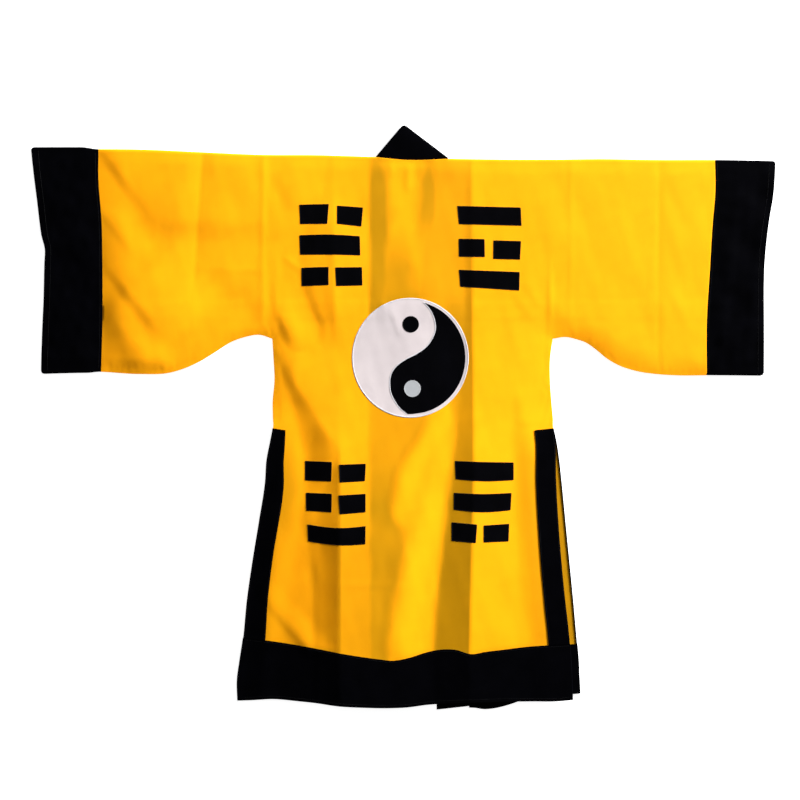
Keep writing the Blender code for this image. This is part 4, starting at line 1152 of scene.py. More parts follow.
def make_back(sizes, colours):
    """The back with both sleeve backs: its grid lifted by back_under and turned over the shoulders.

    The turn is half an oval between the outer face and the height of the fronts, and a flap of
    cloth runs on from it below.
    """
    plan, cells, neck_first, neck_last = back_plan()
    x, y = plan[..., 0], plan[..., 1]
    cloth = sizes.cloth / MM
    over, under = two_faces(x, y, back_under(x, y, sizes), cloth)
    x_end, y_end, z_end = over[-1].T
    middle, tall = (z_end + FRONT_Z) / 2, (z_end - FRONT_Z) / 2
    rows_over, rows_under = [over], [under]
    for angle in np.radians(TURN_ANGLES):
        out, up = math.cos(angle), math.sin(angle)
        rows_over.append(np.dstack([x_end, y_end + SHOULDER_TURN * out, middle + tall * up]))
        inner = (SHOULDER_TURN - cloth) * out
        rows_under.append(np.dstack([x_end, y_end + inner, middle + (tall - cloth) * up]))
    for share in (0.5, 1.0):
        flap = y_end - (SHOULDER_FLAP - SHOULDER_TURN) * share
        rows_over.append(np.dstack([x_end, flap, np.full(len(flap), FRONT_Z)]))
        rows_under.append(np.dstack([x_end, flap, np.full(len(flap), FRONT_Z + cloth)]))
    over, under = np.concatenate(rows_over), np.concatenate(rows_under)
    turned = np.ones((len(rows_over) - 1, cells.shape[1]), bool)
    turned[:, neck_first:neck_last] = False
    cells = np.concatenate([cells, turned])
    # The back's yellow darkens where black layers below show through, and with painted shade
    marks = {"black_below_and_painted_shade": black_and_painted_shade(over[..., 0], over[..., 1])}
    return shell("back_cloth", over, under, yellow_material(colours), cells, marks=marks)


def front_guides(half, y):
    """The x of the lines that a front's columns follow: collar seam, side and cuff seam."""
    inner = smooth(half.collar_sewn, y) + half.sign * EDGE_GAP
    inner = inner + (half.neck_x + half.sign - inner) * ease((y + 40) / 22)
    outer = np.where(y < SLIT_TOP_Y, smooth(half.front_edge, y), smooth(half.back_edge, y))
    inset = EDGE_GAP + (SLIT_INSET - EDGE_GAP) * ease((SIDE_SEAM_END_Y - y) / 20)
    outer = np.where(y < ARMPIT_Y, outer - half.sign * inset, half.armpit_x)
    return np.stack([inner, outer, smooth(half.cuff_seam, y) - half.sign * SEAM_GAP / 2])


def front_plan(half):
    """The (x, y) grid of one front and the cells that hold cloth, as in back_plan."""
    columns = sum(FRONT_CELLS) + 1

    def column_x(y):
        return along_guides(front_guides(half, y), FRONT_CELLS)

    share = np.linspace(0, 1, FRONT_UPPER_ROWS + 1)[:, None]
    x = np.repeat(column_x(np.full((1, columns), UPPER_START_Y)), len(share), 0)
    for _ in range(ROUNDS):
        beyond = np.abs(x) > abs(half.armpit_x) - 0.01
        low = np.where(beyond, smooth(half.underarm, x), ARMPIT_Y) + EDGE_GAP
        high = smooth(SHOULDER, x) - SHOULDER_FLAP - SEAM_GAP
        y = low + (high - low) * share
        x = column_x(y)
    upper = np.dstack([x, y])
    share = np.linspace(0, 1, FRONT_LOWER_ROWS + 1)[:-1, None]
    x = np.repeat(column_x(np.full((1, columns), LOWER_START_Y)), len(share), 0)
    for _ in range(ROUNDS):
        low = smooth(half.front_hem, x) + FRONT_HEM_DEPTH + GAP
        y = low + (ARMPIT_Y - low) * share
        x = column_x(y)
    cells = np.ones((FRONT_LOWER_ROWS + FRONT_UPPER_ROWS, columns - 1), bool)
    cells[:FRONT_LOWER_ROWS, FRONT_CELLS[0]:] = False
    return np.concatenate([np.dstack([x, y]), upper]), cells


def front_under(x, y, sizes):
    """Height of the underside of a front: near the surface, with softer creases than the back.

    It stays between the surface and the underside of the back.
    """
    relief = 0.8 * sum(crease_height(crease, x, y) for crease in CREASES) + 0.2 * body_height(x, y)
    waves = 0.55 * ripple(x, y, 120, 21) + 0.25 * ripple(x, y, 45, 22)
    seam = np.minimum(*(distance_to(path, x, y) for path in SEAM_PATHS))
    slit = np.minimum(x - smooth(FRONT_LEFT_SIDE, y), smooth(FRONT_RIGHT_SIDE, y) - x)
    at_slit = ease((SLIT_TOP_Y + 40 - y) / 40) * ease(1.6 - slit / 60)
    inside = ease(seam / 30) * ease((smooth(SHOULDER, x) - SHOULDER_FLAP - y) / 30)
    low = FRONT_Z - 0.1 + (relief * sizes.relief + waves) * inside * (1 - 0.8 * at_slit)
    ceiling = back_under(x, y, sizes) - sizes.cloth / MM - 0.25
    return np.clip(np.minimum(low, ceiling), 0.15 + 0.85 * at_slit, None)


def make_front(side, sizes, colours):
    """One front with its sleeve front, under the back."""
    half = HALVES[side]
    plan, cells = front_plan(half)
    x, y = plan[..., 0], plan[..., 1]
    over, under = two_faces(x, y, front_under(x, y, sizes), sizes.cloth / MM)
    marks = {"black_below_and_painted_shade": front_band_behind(half, x, y)}
    return shell(f"front_{side}_cloth", over, under, yellow_material(colours), cells, marks=marks)


def cuff_lift(sign, x, y, share, bottom, top):
    """How far the upper layer of a cuff stands off its even tube, share of the way to its edge.

    It is soft waves that fade towards both folds and the seam, less up to 1.2 mm where the lower
    fold meets the seam.
    """
    wave = 1.3 + 0.9 * ripple(x, y, 110, 31 + sign) + 0.3 * ripple(x, y, 40, 33 + sign)
    beside_seam = 1 - ease(share / 0.3)
    waves = np.maximum(wave, 0.0) * ease(np.minimum(y - bottom, top - y) / 40)
    return waves * (1 - 0.85 * beside_seam) - 1.2 * (1 - ease((y - bottom) / 30)) * beside_seam


def cuff_folds(half, share):
    """Where the middles of a cuff's upper and lower folds lie, share of the way to its open edge.

    Both follow the sleeve's folds, and the left cuff widens from the seam by its flare.
    """
    seam, edge = smooth(half.cuff_seam, CUFF_MIDDLE_Y), smooth(half.cuff_edge, CUFF_MIDDLE_Y)
    at_x = seam * (1 - share) + edge * share
    above, below = half.cuff_flare
    top = smooth(SHOULDER, at_x) - CUFF_RADIUS + above * ease(share / 0.25)
    bottom = smooth(half.underarm, at_x) + CUFF_RADIUS - below * ease(share / 0.25)
    return top, bottom


def make_cuff(side, sizes, colours):
    """One cuff: a tube of doubled cloth pressed flat and open at both ends.

    Round the tube the section is a flat oval with soft waves, thinner at the lower fold beside
    the seam, and along it the rings run from the seam to the open edge, where both corners are
    rounded by a quarter circle.
    """
    half = HALVES[side]
    stations, points_up = 26, 132
    share = np.linspace(0, 1, stations)[:, None]
    one = np.ones_like(share)
    top, bottom = cuff_folds(half, share)
    turn = np.radians([-60, -30, 0, 30, 60])[None]
    straight = bottom + (top - bottom) * np.linspace(0, 1, points_up)[None]
    over_fold = CUFF_RADIUS * (1 - np.cos(turn)) * one
    to_fold = np.minimum(straight - bottom, top - straight) + CUFF_RADIUS
    to_fold = np.concatenate([to_fold, over_fold, to_fold[:, ::-1], over_fold], 1)
    inside = np.maximum(CUFF_CORNER - to_fold, 0)
    corner = (CUFF_CORNER - np.sqrt(CUFF_CORNER**2 - inside**2)) * ease((share - 0.8) / 0.2)

    def ring(r):
        """One closed ring of points for each station, r from the middle height."""
        folds = top + r * np.cos(turn), bottom - r * np.cos(turn)
        y = np.concatenate([straight, folds[0], straight[:, ::-1], folds[1]], 1)
        z = np.concatenate([-r * np.ones_like(straight), r * np.sin(turn) * one,
                            r * np.ones_like(straight), -r * np.sin(turn) * one], 1)
        x_seam = smooth(half.cuff_seam, y) + half.sign * SEAM_GAP / 2
        x = x_seam + (smooth(half.cuff_edge, y) - x_seam) * share - half.sign * corner
        lift = cuff_lift(half.sign, x, y, share, bottom, top)
        lift = np.where(z > 0, lift * np.minimum(z / CUFF_RADIUS + (lift > 0), 1.0), 0.0)
        return np.dstack([x, y, z + CUFF_RADIUS + lift])

    outer, inner = ring(CUFF_RADIUS), ring(CUFF_RADIUS - sizes.doubled / MM)
    return shell(f"cuff_{side}_cloth", outer, inner, black_cloth(colours), closed=True)


def collar_rows(sizes):
    """Outer and inner rows of points of the collar, from one front's hem round to the other's.

    Each row runs across the band in even steps from its free edge to its sewn edge. On the
    slopes of the peak the rows go half round the fold line, and between them the band puffs up a
    little and its free edge rises to a blunt tip.
    """
    across = np.linspace(0, 1, 15)[:, None]
    doubled = sizes.doubled / MM
    strip_rows, slope_rows, peak_rows = 110, 9, 10

    def strip(free, sewn):
        """Rows up one front band, lying near the surface with soft waves."""
        rows = []
        for share in np.linspace(0, 1, strip_rows):
            ends = []
            for table in (free, sewn):
                places = sorted(y for y, _ in table)
                y = places[0] + (places[-1] - places[0]) * share
                ends.append((float(smooth(table, y)), y))
            points = np.array(ends[0]) + (np.array(ends[1]) - np.array(ends[0])) * across
            wave = 0.45 + 0.3 * ripple(points[:, 0], points[:, 1], 90, 41)
            low = np.clip(wave, 0.05, 0.9) * ease((1 - share) / 0.04)
            rows.append([np.column_stack([points, z]) for z in (low, low + doubled)])
        return rows

    def slope(peak, neck):
        """Rows half round the fold line from the peak to the neck's end."""
        run = np.array(neck, float) - peak
        normal = np.array([-run[1], run[0]]) / np.hypot(*run)
        if normal[1] < 0:
            normal = -normal
        line = np.array(peak) + run * across
        rows = []
        for angle in np.radians(np.linspace(-90, 90, slope_rows)):
            row = []
            for r in (COLLAR_RADIUS, COLLAR_RADIUS - doubled):
                flat = line - normal * COLLAR_RADIUS + normal * math.cos(angle) * r
                z = np.full(len(line), COLLAR_RADIUS + math.sin(angle) * r)
                row.append(np.column_stack([flat, z]))
            rows.append(row)
        return rows

    left = strip(COLLAR_LEFT_FREE, COLLAR_LEFT_SEWN) + slope(COLLAR_PEAK[0], COLLAR_NECK[0])
    right = strip(COLLAR_RIGHT_FREE, COLLAR_RIGHT_SEWN) + slope(COLLAR_PEAK[1], COLLAR_NECK[1])
    start, end = left[-1][0][:, :2], right[-1][0][:, :2]
    peak = []
    for share in np.linspace(0, 1, peak_rows + 2)[1:-1]:
        points = start + (end - start) * share
        bulge = math.sin(math.pi * share)
        neckline = smooth(NECKLINE, points[-1, 0]) + GAP / 2
        drop = (neckline - points[-1, 1]) * ease(across[:, 0])
        tip = 2.2 * bulge * (1 - across[:, 0]) ** 4
        points = points + np.column_stack([np.zeros(len(points)), drop * min(1.0, bulge * 2) + tip])
        puff = 0.8 * bulge * np.sin(math.pi * across[:, 0])
        top = 2 * COLLAR_RADIUS + puff
        peak.append([np.column_stack([points, z]) for z in (top, top - doubled)])
    outer, inner = zip(*left, *peak, *reversed(right))
    return np.array(outer), np.array(inner)


def make_collar(sizes, colours):
    """The collar band: up one front, folded into the peak behind the neck, and down the other."""
    outer, inner = collar_rows(sizes)
    return shell("collar_cloth", outer, inner, black_cloth(colours))


def hem_grid(seam, edge, left, right, rows, columns):
    """A grid of points (x, y) between a seam line and a free edge, from side to side."""
    share = np.linspace(0, 1, rows)[:, None]
    along = np.linspace(0, 1, columns)[None]
    y = np.full((rows, columns), HEM_START_Y)
    for _ in range(ROUNDS):
        x = left(y) + (right(y) - left(y)) * along
        y = seam(x) + (edge(x) - seam(x)) * share
    return x, y


def hem_under(x, y, sizes):
    """Height of the underside of the back's hem band: the back's creases run on in it."""
    return np.maximum(back_under(x, y, sizes) - HEM_DROP, HEM_LOWEST_Z)


def make_hem_back(sizes, colours):
    """The doubled black band along the hem of the back."""
    x, y = hem_grid(
        lambda x: smooth(HEM_SEAM, x) - GAP / 2, lambda x: smooth(HEM_EDGE, x),
        lambda y: smooth(LEFT_SIDE, y), lambda y: smooth(RIGHT_SIDE, y), 24, 132,
    )
    over, under = two_faces(x, y, hem_under(x, y, sizes), sizes.doubled / MM)
    return shell("hem_back_cloth", over, under, black_cloth(colours))


def make_hem_front(side, sizes, colours):
    """The doubled black band along the hem of one front, on the surface."""
    half = HALVES[side]
    x, y = hem_grid(
        lambda x: smooth(half.front_hem, x) + FRONT_HEM_DEPTH, lambda x: smooth(half.front_hem, x),
        lambda y: smooth(half.collar_sewn, y) + half.sign * EDGE_GAP,
        lambda y: smooth(half.front_edge, y), 18, 48,
    )
    low = np.clip(0.35 + 0.25 * ripple(x, y, 80, 51), 0.05, 0.65)
    over, under = two_faces(x, y, low, sizes.doubled / MM)
    return shell(f"hem_front_{side}_cloth", over, under, black_cloth(colours))


def make_slit_band(layer, side, sizes, colours):
    """The black band down one slit of the back or of a front: a C carried along the panel's edge.

    The C's leaf lies on the outside of the panel, which faces up at the back and down at the
    fronts, and its short lip on the inside.
    """
    half = HALVES[side]
    if layer == "back":
        edge, width, lip_width, outward = half.back_edge, half.back_band, BACK_BAND_LIP, 1
        hem, above_hem, low_at = HEM_SEAM, GAP / 2, back_under
    else:
        edge, width, lip_width, outward = half.front_edge, FRONT_BAND_WIDTH, FRONT_BAND_LIP, -1
        hem, above_hem, low_at = half.front_hem, FRONT_HEM_DEPTH + EDGE_GAP, front_under

    def end_y(x):
        return smooth(hem, x) + above_hem

    cloth = sizes.cloth / MM
    share = np.linspace(0, 1, 100)[:, None]
    last_y = end_y(smooth(edge, BAND_END_Y))
    y_edge = SLIT_TOP_Y + (last_y - SLIT_TOP_Y) * share
    x_edge = smooth(edge, y_edge)
    wide = smooth(width, y_edge)
    turns = np.radians([90, 54, 18, -18, -54, -90])
    leaf_share = np.linspace(1, 0.04, 11)
    inner_radius = cloth / 2 + BAND_AIR

    def section(offset):
        """Inward distances and heights over the panel's middle, offset out from the panel."""
        r = inner_radius + offset
        leaf = wide * leaf_share[None]
        bend = 1.7 - (r * np.cos(turns))[None] * 1.3 + 0 * wide
        lip = np.array([0.64, 1.0])[None] * lip_width + 0 * wide
        inward = np.concatenate([leaf, bend, lip], 1)
        rise = np.concatenate([
            np.full(leaf.shape, r), (r * np.sin(turns))[None] + 0 * wide, np.full(lip.shape, -r),
        ], 1)
        return inward, rise

    grids = []
    for offset in (cloth, 0.0):
        inward, rise = section(offset)
        x = x_edge - half.sign * inward
        top = SLIT_TOP_Y - BAND_END_SLANT * inward / wide
        y = top + (end_y(x) - top) * share
        panel = low_at(x, y, sizes) + cloth / 2
        grids.append(np.dstack([x, y, panel + outward * rise]))
    return shell(f"slit_band_{layer}_{side}_cloth", *grids, black_cloth(colours))


def on_level(level, sizes):
    """The outer face of patches that lie one on the other: level 0 is on the cloth itself."""
    return lambda x, y: back_over(x, y, sizes) + PATCH_LIFT + (level + 1) * PATCH


def patch_object(name, x, y, level, material, sizes):
    """An applique patch on the back: its grid laid on the back's outer face, some levels up."""
    thick = PATCH - PATCH_AIR
    over, under = two_faces(x, y, on_level(level, sizes)(x, y) - thick, thick)
    return shell(name, over, under, material)


def disc_grid(centre, rx, ry, count):
    """A grid over an oval: a square's grid pressed to the oval, so that it has no pole."""
    u, v = np.meshgrid(np.linspace(-1, 1, count), np.linspace(-1, 1, count))
    x = u * np.sqrt(1 - v * v / 2)
    y = v * np.sqrt(1 - u * u / 2)
    return centre[0] + rx * x, centre[1] + ry * y


def oval_path(centre, rx, ry, count):
    """Points round an oval."""
    turn = np.linspace(0, math.tau, count, endpoint=False)
    return np.stack([centre[0] + rx * np.cos(turn), centre[1] + ry * np.sin(turn)], axis=1)


def bar_outline(bar, steps):
    """The top and bottom edges of one strip as points (x, y), bowed where the real one is."""
    t = np.linspace(0, 1, steps)[:, None]
    top_left, top_right, low_right, low_left = (np.array(c, float) for c in bar.corners)
    bow_top, bow_low = BOWS.get(bar.name, (0.0, 0.0))
    hump = np.array([0.0, 1.0]) * np.sin(math.pi * t)
    top = top_left + (top_right - top_left) * t + hump * bow_top
    low = low_left + (low_right - low_left) * t + hump * bow_low
    return top, low


def make_bar(bar, sizes, colours):
    """One strip of a trigram: an even grid between its bowed top and bottom edges."""
    steps = 13 if abs(bar.corners[1][0] - bar.corners[0][0]) < LONG_STRIP else 27
    top, low = bar_outline(bar, steps)
    share = np.linspace(0, 1, 9)[:, None]
    x = low[None, :, 0] + (top[None, :, 0] - low[None, :, 0]) * share
    y = low[None, :, 1] + (top[None, :, 1] - low[None, :, 1]) * share
    return patch_object(f"bar_{bar.name}_cloth", x, y, 0, black_satin(colours), sizes)


def half_edges(count):
    """The S line and the outer arc of the emblem's black half at the same heights."""
    y = np.linspace(S_LINE[-1][0], S_LINE[0][0], count)
    left = smooth(S_LINE, y)
    reach = np.clip((y - HALF_Y) / HALF_RY, -1, 1)
    right = HALF_X + HALF_RX * np.sqrt(1 - reach ** 2)
    return y, left, np.maximum(right, left + 0.3)


def length_property(name, description, default, low=0.0):
    """A length with its name, its description, its default and its lowest value, in metres."""
    return bpy.props.FloatProperty(
        name=name, description=description, default=default, min=low, unit="LENGTH",
        subtype="DISTANCE",
    )


def colour_property(name, description, default):
    """A colour with its name, its description and its default."""
    return bpy.props.FloatVectorProperty(
        name=name, description=description, default=default, size=4, min=0.0, max=1.0,
        subtype="COLOR",
    )


class RobeSizes(bpy.types.PropertyGroup):
    """Sizes of the cloth and of its stitching."""

    cloth: length_property("Cloth", "Thickness of one layer of cloth", 0.0007, 0.0002)
    doubled: length_property(
        "Doubled cloth", "Thickness of two layers sewn together", 0.0016, 0.0004,
    )
    puff: length_property(
        "Puff", "How far the back stands off the fronts away from its seams", 0.0022,
    )
    relief: bpy.props.FloatProperty(
        name="Relief", description="Share of the full height of creases and folds", default=0.72,
        min=0.0, max=1.2, subtype="FACTOR",
    )
    satin_width: length_property(
        "Satin edge", "Width of the satin-stitched edge of the disc", 0.0034, 0.001,
    )
    satin_height: length_property(
        "Satin height", "How far the satin-stitched edges stand up", 0.00014, 0.00005,
    )
    stitch_length: length_property("Stitch", "Length of one running stitch", 0.0032, 0.001)
    stitch_gap: length_property("Stitch gap", "Gap between two running stitches", 0.001, 0.0003)
    thread: length_property("Thread", "Thickness of the thread", 0.0005, 0.0001)


class RobeColours(bpy.types.PropertyGroup):
    """Colours of the cloths and of the thread."""

    yellow: colour_property("Yellow", "Golden yellow cloth", (0.95, 0.365, 0.002, 1.0))
    yellow_deep: colour_property(
        "Deeper yellow", "Soft spots in the yellow", (0.93, 0.345, 0.0015, 1.0),
    )
    # Also the colour of the painted shade on the back
    yellow_over_black_and_painted_shade: colour_property(
        "Yellow over black", "Yellow with black below", (0.46, 0.212, 0.0008, 1.0),
    )
    black: colour_property("Black", "Black cloth", (0.0006, 0.0006, 0.0012, 1.0))
    black_deep: colour_property(
        "Deeper black", "Soft spots in the black", (0.0003, 0.0003, 0.0007, 1.0),
    )
    white: colour_property("White", "White cloth of the emblem", (0.562, 0.497, 0.5, 1.0))
    white_deep: colour_property(
        "Deeper white", "Soft spots in the white", (0.515, 0.455, 0.46, 1.0),
    )
    grey: colour_property("Grey", "Light grey cloth of the lower eye", (0.355, 0.37, 0.388, 1.0))
    grey_deep: colour_property("Deeper grey", "Soft spots in the grey", (0.32, 0.335, 0.352, 1.0))
    white_thread: colour_property(
        "White thread", "Thread of the white edges", (0.56, 0.555, 0.58, 1.0),
    )
    grey_thread: colour_property(
        "Grey thread", "Thread round the lower eye", (0.40, 0.415, 0.43, 1.0),
    )
    black_thread: colour_property(
        "Black thread", "Thread of the black edges and seams", (0.0007, 0.0007, 0.0012, 1.0),
    )


class RobeStage(bpy.types.PropertyGroup):
    """Camera, key lamp, even light and floor."""

    camera_height: length_property(
        "Camera height", "Height of the camera over the surface", 4.5, 1.0,
    )
    view_width: length_property(
        "View width", "Width of the surface that the picture shows", 1.84, 0.5,
    )
    key_distance: length_property("Key distance", "Distance of the key lamp", 10.5, 2.0)
    key_elevation: bpy.props.FloatProperty(
        name="Key elevation", description="Angle of the key lamp over the surface",
        default=math.radians(8), min=0.1, max=1.5, unit="ROTATION", subtype="ANGLE",
    )
    key_azimuth: bpy.props.FloatProperty(
        name="Key direction", description="Turn of the key lamp from the robe's right side",
        default=math.radians(36), unit="ROTATION", subtype="ANGLE",
    )
    key_power: bpy.props.FloatProperty(
        name="Key power", description="Power of the key lamp", default=9800.0, min=0.0,
        unit="POWER",
    )
    fill: bpy.props.FloatProperty(
        name="Fill", description="Strength of the even light from all round", default=0.2, min=0.0,
    )
    floor_glow: bpy.props.FloatProperty(
        name="Floor glow", description="Light of the floor itself, which softens shadows on it",
        default=0.85, min=0.0,
    )


class ROBE_OT_stage(bpy.types.Operator):
    """Lay the pale floor, hang the key lamp and set the camera straight above the robe"""

    bl_idname = "robe.stage"
    bl_label = "Stage"

    def execute(self, context):
        scene, stage = context.scene, context.scene.robe_stage
        floor_mesh = bpy.data.meshes.new("floor")
        turns = ((-1, -1), (1, -1), (1, 1), (-1, 1))
        corners = [(FLOOR_REACH * x, FLOOR_REACH * y, -FLOOR_DROP) for x, y in turns]
        floor_mesh.from_pydata(corners, [], [(0, 1, 2, 3)])
        nodes = Nodes("pale_floor")
        nodes.set(nodes.shader, "Base Color", (0.9, 0.9, 0.9, 1.0))
        nodes.set(nodes.shader, "Roughness", 0.9)
        nodes.set(nodes.shader, "Specular IOR Level", 0.0)
        nodes.set(nodes.shader, "Emission Color", (1.0, 1.0, 1.0, 1.0))
        nodes.set(nodes.shader, "Emission Strength", stage.floor_glow)
        new_object("floor", floor_mesh, nodes.material)

        lamp = bpy.data.lights.new("key", "AREA")
        lamp.shape = "DISK"
        lamp.size = stage.key_distance * KEY_SPREAD
        lamp.energy = stage.key_power
        key = bpy.data.objects.new("key", lamp)
        flat = math.cos(stage.key_elevation) * stage.key_distance
        key.location = (
            flat * math.cos(stage.key_azimuth), flat * math.sin(stage.key_azimuth),
            math.sin(stage.key_elevation) * stage.key_distance,
        )
        key.rotation_euler = key.location.to_track_quat("Z", "Y").to_euler()
        scene.collection.objects.link(key)

        # The even light from all round is dim, and the wall beyond the floor shows white
        world = bpy.data.worlds.new("room")
        world.use_nodes = True
        tree = world.node_tree
        seen = tree.nodes.new("ShaderNodeLightPath").outputs["Is Camera Ray"]
        either = tree.nodes.new("ShaderNodeMixShader")
        tree.links.new(seen, either.inputs["Fac"])
        for place, strength in enumerate((stage.fill, 1.0), start=1):
            light = tree.nodes.new("ShaderNodeBackground")
            light.inputs["Color"].default_value = (1.0, 1.0, 1.0, 1.0)
            light.inputs["Strength"].default_value = strength
            tree.links.new(light.outputs["Background"], either.inputs[place])
        tree.links.new(either.outputs["Shader"], tree.nodes["World Output"].inputs["Surface"])
        scene.world = world

        camera = bpy.data.objects.new("camera", bpy.data.cameras.new("camera"))
        camera.data.sensor_width = SENSOR_WIDTH
        camera.data.lens = SENSOR_WIDTH * stage.camera_height / stage.view_width
        camera.data.dof.use_dof = False
        middle = (CAMERA_X + SHIFT_X) * MM, (CAMERA_Y + SHIFT_Y) * MM
        camera.location = (*middle, stage.camera_height)
        scene.collection.objects.link(camera)
        scene.camera = camera
        scene.view_settings.view_transform = "Standard"
        return {"FINISHED"}


class ROBE_OT_back(bpy.types.Operator):
    """Make the yellow back with both sleeve backs"""

    bl_idname = "robe.back"
    bl_label = "Back"

    def execute(self, context):
        piece = make_back(context.scene.robe_sizes, context.scene.robe_colours)
        declare(piece, "yellow_cloth", ["back"], (1.42, 1.19), 1.12, ["front_left", "front_right"])
        return {"FINISHED"}


class ROBE_OT_fronts(bpy.types.Operator):
    """Make both yellow fronts with their sleeve fronts"""

    bl_idname = "robe.fronts"
    bl_label = "Fronts"

    def execute(self, context):
        for side in ("left", "right"):
            piece = make_front(side, context.scene.robe_sizes, context.scene.robe_colours)
            declare(piece, "yellow_cloth", [f"front_{side}"], (0.64, 1.17), 0.43, ["floor"])
        return {"FINISHED"}


class ROBE_OT_cuffs(bpy.types.Operator):
    """Make the two black cuffs"""

    bl_idname = "robe.cuffs"
    bl_label = "Cuffs"

    def execute(self, context):
        for side in ("left", "right"):
            piece = make_cuff(side, context.scene.robe_sizes, context.scene.robe_colours)
            declare(piece, "black_cloth", [f"cuff_{side}"], (1.03, 0.14), 0.14, ["floor"])
        return {"FINISHED"}


class ROBE_OT_collar(bpy.types.Operator):
    """Make the black collar band with its peak behind the neck"""

    bl_idname = "robe.collar"
    bl_label = "Collar"

    def execute(self, context):
        piece = make_collar(context.scene.robe_sizes, context.scene.robe_colours)
        declare(piece, "black_cloth", ["collar"], (0.075, 2.72), 0.2, ["floor"])
        return {"FINISHED"}


class ROBE_OT_hems(bpy.types.Operator):
    """Make the black bands along the hems"""

    bl_idname = "robe.hems"
    bl_label = "Hems"

    def execute(self, context):
        sizes, colours = context.scene.robe_sizes, context.scene.robe_colours
        piece = make_hem_back(sizes, colours)
        fronts = ["front_left", "front_right"]
        declare(piece, "black_cloth", ["hem_back"], (0.77, 0.14), 0.09, fronts)
        for side, wide in (("left", 0.28), ("right", 0.26)):
            piece = make_hem_front(side, sizes, colours)
            area = wide * FRONT_HEM_MEAN
            declare(piece, "black_cloth", [f"hem_front_{side}"], (wide, 0.12), area, ["floor"])
        return {"FINISHED"}


class ROBE_OT_slit_bands(bpy.types.Operator):
    """Make the four black bands down the side slits"""

    bl_idname = "robe.slit_bands"
    bl_label = "Slit bands"

    def execute(self, context):
        sizes, colours = context.scene.robe_sizes, context.scene.robe_colours
        for layer in ("back", "front"):
            for side in HALVES:
                piece = make_slit_band(layer, side, sizes, colours)
                nodes = [f"slit_band_{layer}_{side}"]
                carried_by = "back" if layer == "back" else f"front_{side}"
                declare(piece, "black_cloth", nodes, (0.055, 0.51), SLIT_BAND_AREA, [carried_by])
        return {"FINISHED"}


class ROBE_OT_trigrams(bpy.types.Operator):
    """Lay the strips of the four trigrams on the back and stitch their edges"""

    bl_idname = "robe.trigrams"
    bl_label = "Trigrams"

    def execute(self, context):
        sizes, colours = context.scene.robe_sizes, context.scene.robe_colours
        beads = []
        for bar in BARS:
            piece = make_bar(bar, sizes, colours)
            wide = (bar.corners[1][0] - bar.corners[0][0]) * MM
            declare(piece, "black_patch", [f"bar_{bar.name}"], (wide, STRIP_HIGH), None, ["back"])
            top, low = bar_outline(bar, 15)
            path = even_path(np.concatenate([top, low[::-1]]), STRIP_STEP, closed=True)
            beads.append(bead_arrays(path, on_level(0, sizes), sizes, True, NARROW_SATIN))
        sew("trigram_edges", beads, "black_thread", colours.black_thread)
        return {"FINISHED"}


class ROBE_OT_emblem(bpy.types.Operator):
    """Lay the patches of the round emblem on the back and stitch their edges"""

    bl_idname = "robe.emblem"
    bl_label = "Emblem"

    def execute(self, context):
        sizes, colours = context.scene.robe_sizes, context.scene.robe_colours
        centre = (EMBLEM_X, EMBLEM_Y)
        x, y = disc_grid(centre, DISC_RX, DISC_RY, 54)
        piece = patch_object("emblem_disc_cloth", x, y, 0, white_satin(colours), sizes)
        declare(piece, "white_patch", ["emblem_disc"], *oval_cut(DISC_RX, DISC_RY), ["back"])

        rows, left, right = half_edges(60)
        share = np.linspace(0, 1, 30)[None]
        x = left[:, None] + (right - left)[:, None] * share
        y = np.repeat(rows[:, None], share.size, 1)
        piece = patch_object("emblem_dark_half_cloth", x, y, 1, black_satin(colours), sizes)
        declare(piece, "black_patch", ["emblem_dark_half"], (0.17, 0.256), 0.0245, ["emblem_disc"])

        x, y = disc_grid(UPPER_EYE, EYE_RADIUS, EYE_RADIUS, 14)
        piece = patch_object("emblem_dark_eye_cloth", x, y, 1, black_satin(colours), sizes)
        eye_cut = oval_cut(EYE_RADIUS, EYE_RADIUS)
        declare(piece, "black_patch", ["emblem_dark_eye"], *eye_cut, ["emblem_disc"])
        x, y = disc_grid(LOWER_EYE, EYE_RADIUS, EYE_RADIUS, 14)
        piece = patch_object("emblem_light_eye_cloth", x, y, 2, grey_satin(colours), sizes)
        declare(piece, "grey_patch", ["emblem_light_eye"], *eye_cut, ["emblem_dark_half"])

        rows, left, right = half_edges(160)
        s_line = np.stack([left - S_LINE_OFFSET, rows], axis=1)
        rim = oval_path(centre, DISC_RX - DISC_INSET, DISC_RY - DISC_INSET, 400)
        rim = even_path(rim, EMBLEM_STEP, True)
        beads = [
            bead_arrays(rim, on_level(0, sizes), sizes, True),
            bead_arrays(
                even_path(s_line, EMBLEM_STEP), on_level(0.6, sizes), sizes, False, S_LINE_SATIN,
            ),
        ]
        sew("emblem_white_edges", beads, "white_thread", colours.white_thread)
        ring = EYE_RADIUS - EYE_INSET
        path = even_path(oval_path(LOWER_EYE, ring, ring, 90), EMBLEM_STEP, True)
        beads = [bead_arrays(path, on_level(2, sizes), sizes, True, NARROW_SATIN)]
        sew("emblem_grey_edges", beads, "grey_thread", colours.grey_thread)
        path = even_path(oval_path(UPPER_EYE, ring, ring, 90), EMBLEM_STEP, True)
        beads = [bead_arrays(path, on_level(1, sizes), sizes, True, NARROW_SATIN)]
        sew("emblem_black_edges", beads, "black_thread", colours.black_thread)
        return {"FINISHED"}


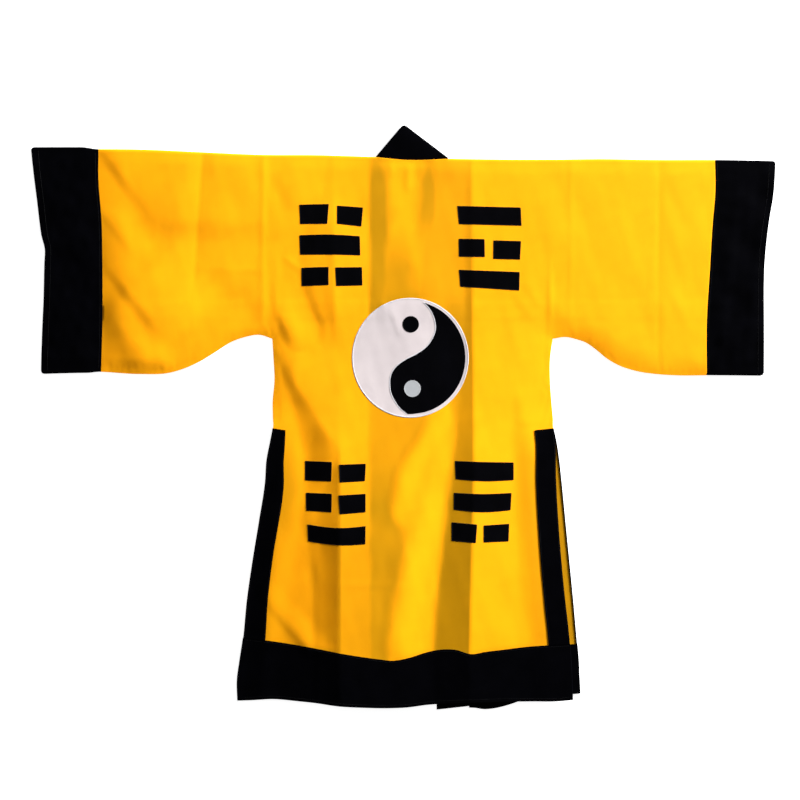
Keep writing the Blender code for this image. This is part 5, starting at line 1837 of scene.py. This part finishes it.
class ROBE_OT_stitches(bpy.types.Operator):
    """Sew the running stitches along the hem and the slit bands of the back and round the cuffs"""

    bl_idname = "robe.stitches"
    bl_label = "Stitches"

    def execute(self, context):
        sizes, thread = context.scene.robe_sizes, context.scene.robe_colours.black_thread

        def hem_top(x, y):
            return hem_under(x, y, sizes) + sizes.doubled / MM

        def leaf_top(x, y):
            return back_under(x, y, sizes) + 2 * sizes.cloth / MM + BAND_AIR

        def cuff_top(sign, share, bottom, top):
            return lambda x, y: 2 * CUFF_RADIUS + cuff_lift(sign, x, y, share, bottom, top)

        # A row below the seam of the back's hem band and one above its edge
        rows = []
        x = np.linspace(*HEM_STITCHES_X, 160)
        for table, offset in ((HEM_SEAM, -4.0), (HEM_EDGE, 6.0)):
            rows.append(stitch_arrays(np.stack([x, smooth(table, x) + offset], 1), hem_top, sizes))
        # A row beside each long edge of the back's slit bands, slanted like the bands' ends
        y = np.linspace(*SLIT_STITCHES_Y, 80)
        for half in HALVES.values():
            for inward in (smooth(half.back_band, y) - 2.5, 3.5 + 0 * y):
                x = smooth(half.back_edge, y) - half.sign * inward
                path = np.stack([x, y - 4 * inward / 45], 1)
                rows.append(stitch_arrays(path, leaf_top, sizes))
        sew("hem_and_slit_stitches", rows, "black_thread", thread)

        # A row beside the seam of each cuff and one beside its open edge
        rows = []
        for half in HALVES.values():
            for share in (0.04, 0.9):
                top, bottom = (float(place) for place in cuff_folds(half, share))
                y = np.linspace(bottom + 8, top - 8, 60)
                x = smooth(half.cuff_seam, y) * (1 - share) + smooth(half.cuff_edge, y) * share
                height_at = cuff_top(half.sign, share, bottom, top)
                rows.append(stitch_arrays(np.stack([x, y], 1), height_at, sizes))
        sew("cuff_stitches", rows, "black_thread", thread)
        return {"FINISHED"}


class ROBE_PT_panel(bpy.types.Panel):
    """Lists the steps, the sizes and the colours of the robe"""

    bl_idname = "ROBE_PT_panel"
    bl_label = "Taoist robe"
    bl_space_type = "VIEW_3D"
    bl_region_type = "UI"
    bl_category = "Robe"

    def draw(self, context):
        layout = self.layout
        for step in STEPS:
            layout.operator(step.bl_idname)
        for title, group in (
            ("Sizes", context.scene.robe_sizes),
            ("Colours", context.scene.robe_colours),
            ("Stage", context.scene.robe_stage),
        ):
            box = layout.box()
            box.label(text=title)
            for label in group.__annotations__:
                box.prop(group, label)


STEPS = [
    ROBE_OT_stage, ROBE_OT_back, ROBE_OT_fronts, ROBE_OT_cuffs, ROBE_OT_collar, ROBE_OT_hems,
    ROBE_OT_slit_bands, ROBE_OT_trigrams, ROBE_OT_emblem, ROBE_OT_stitches,
]
GROUPS = {"robe_sizes": RobeSizes, "robe_colours": RobeColours, "robe_stage": RobeStage}


def register():
    """Registers the property groups, the operators and the panel."""
    for label, group in GROUPS.items():
        bpy.utils.register_class(group)
        setattr(bpy.types.Scene, label, bpy.props.PointerProperty(type=group))
    for made in (*STEPS, ROBE_PT_panel):
        bpy.utils.register_class(made)


def unregister():
    """Takes back all that register added."""
    for made in (ROBE_PT_panel, *reversed(STEPS)):
        bpy.utils.unregister_class(made)
    for label, group in reversed(GROUPS.items()):
        delattr(bpy.types.Scene, label)
        bpy.utils.unregister_class(group)


def main():
    """Runs every step in order."""
    register()
    bpy.ops.robe.stage()
    bpy.ops.robe.back()
    bpy.ops.robe.fronts()
    bpy.ops.robe.cuffs()
    bpy.ops.robe.collar()
    bpy.ops.robe.hems()
    bpy.ops.robe.slit_bands()
    bpy.ops.robe.trigrams()
    bpy.ops.robe.emblem()
    bpy.ops.robe.stitches()


if __name__ == "__main__":
    main()
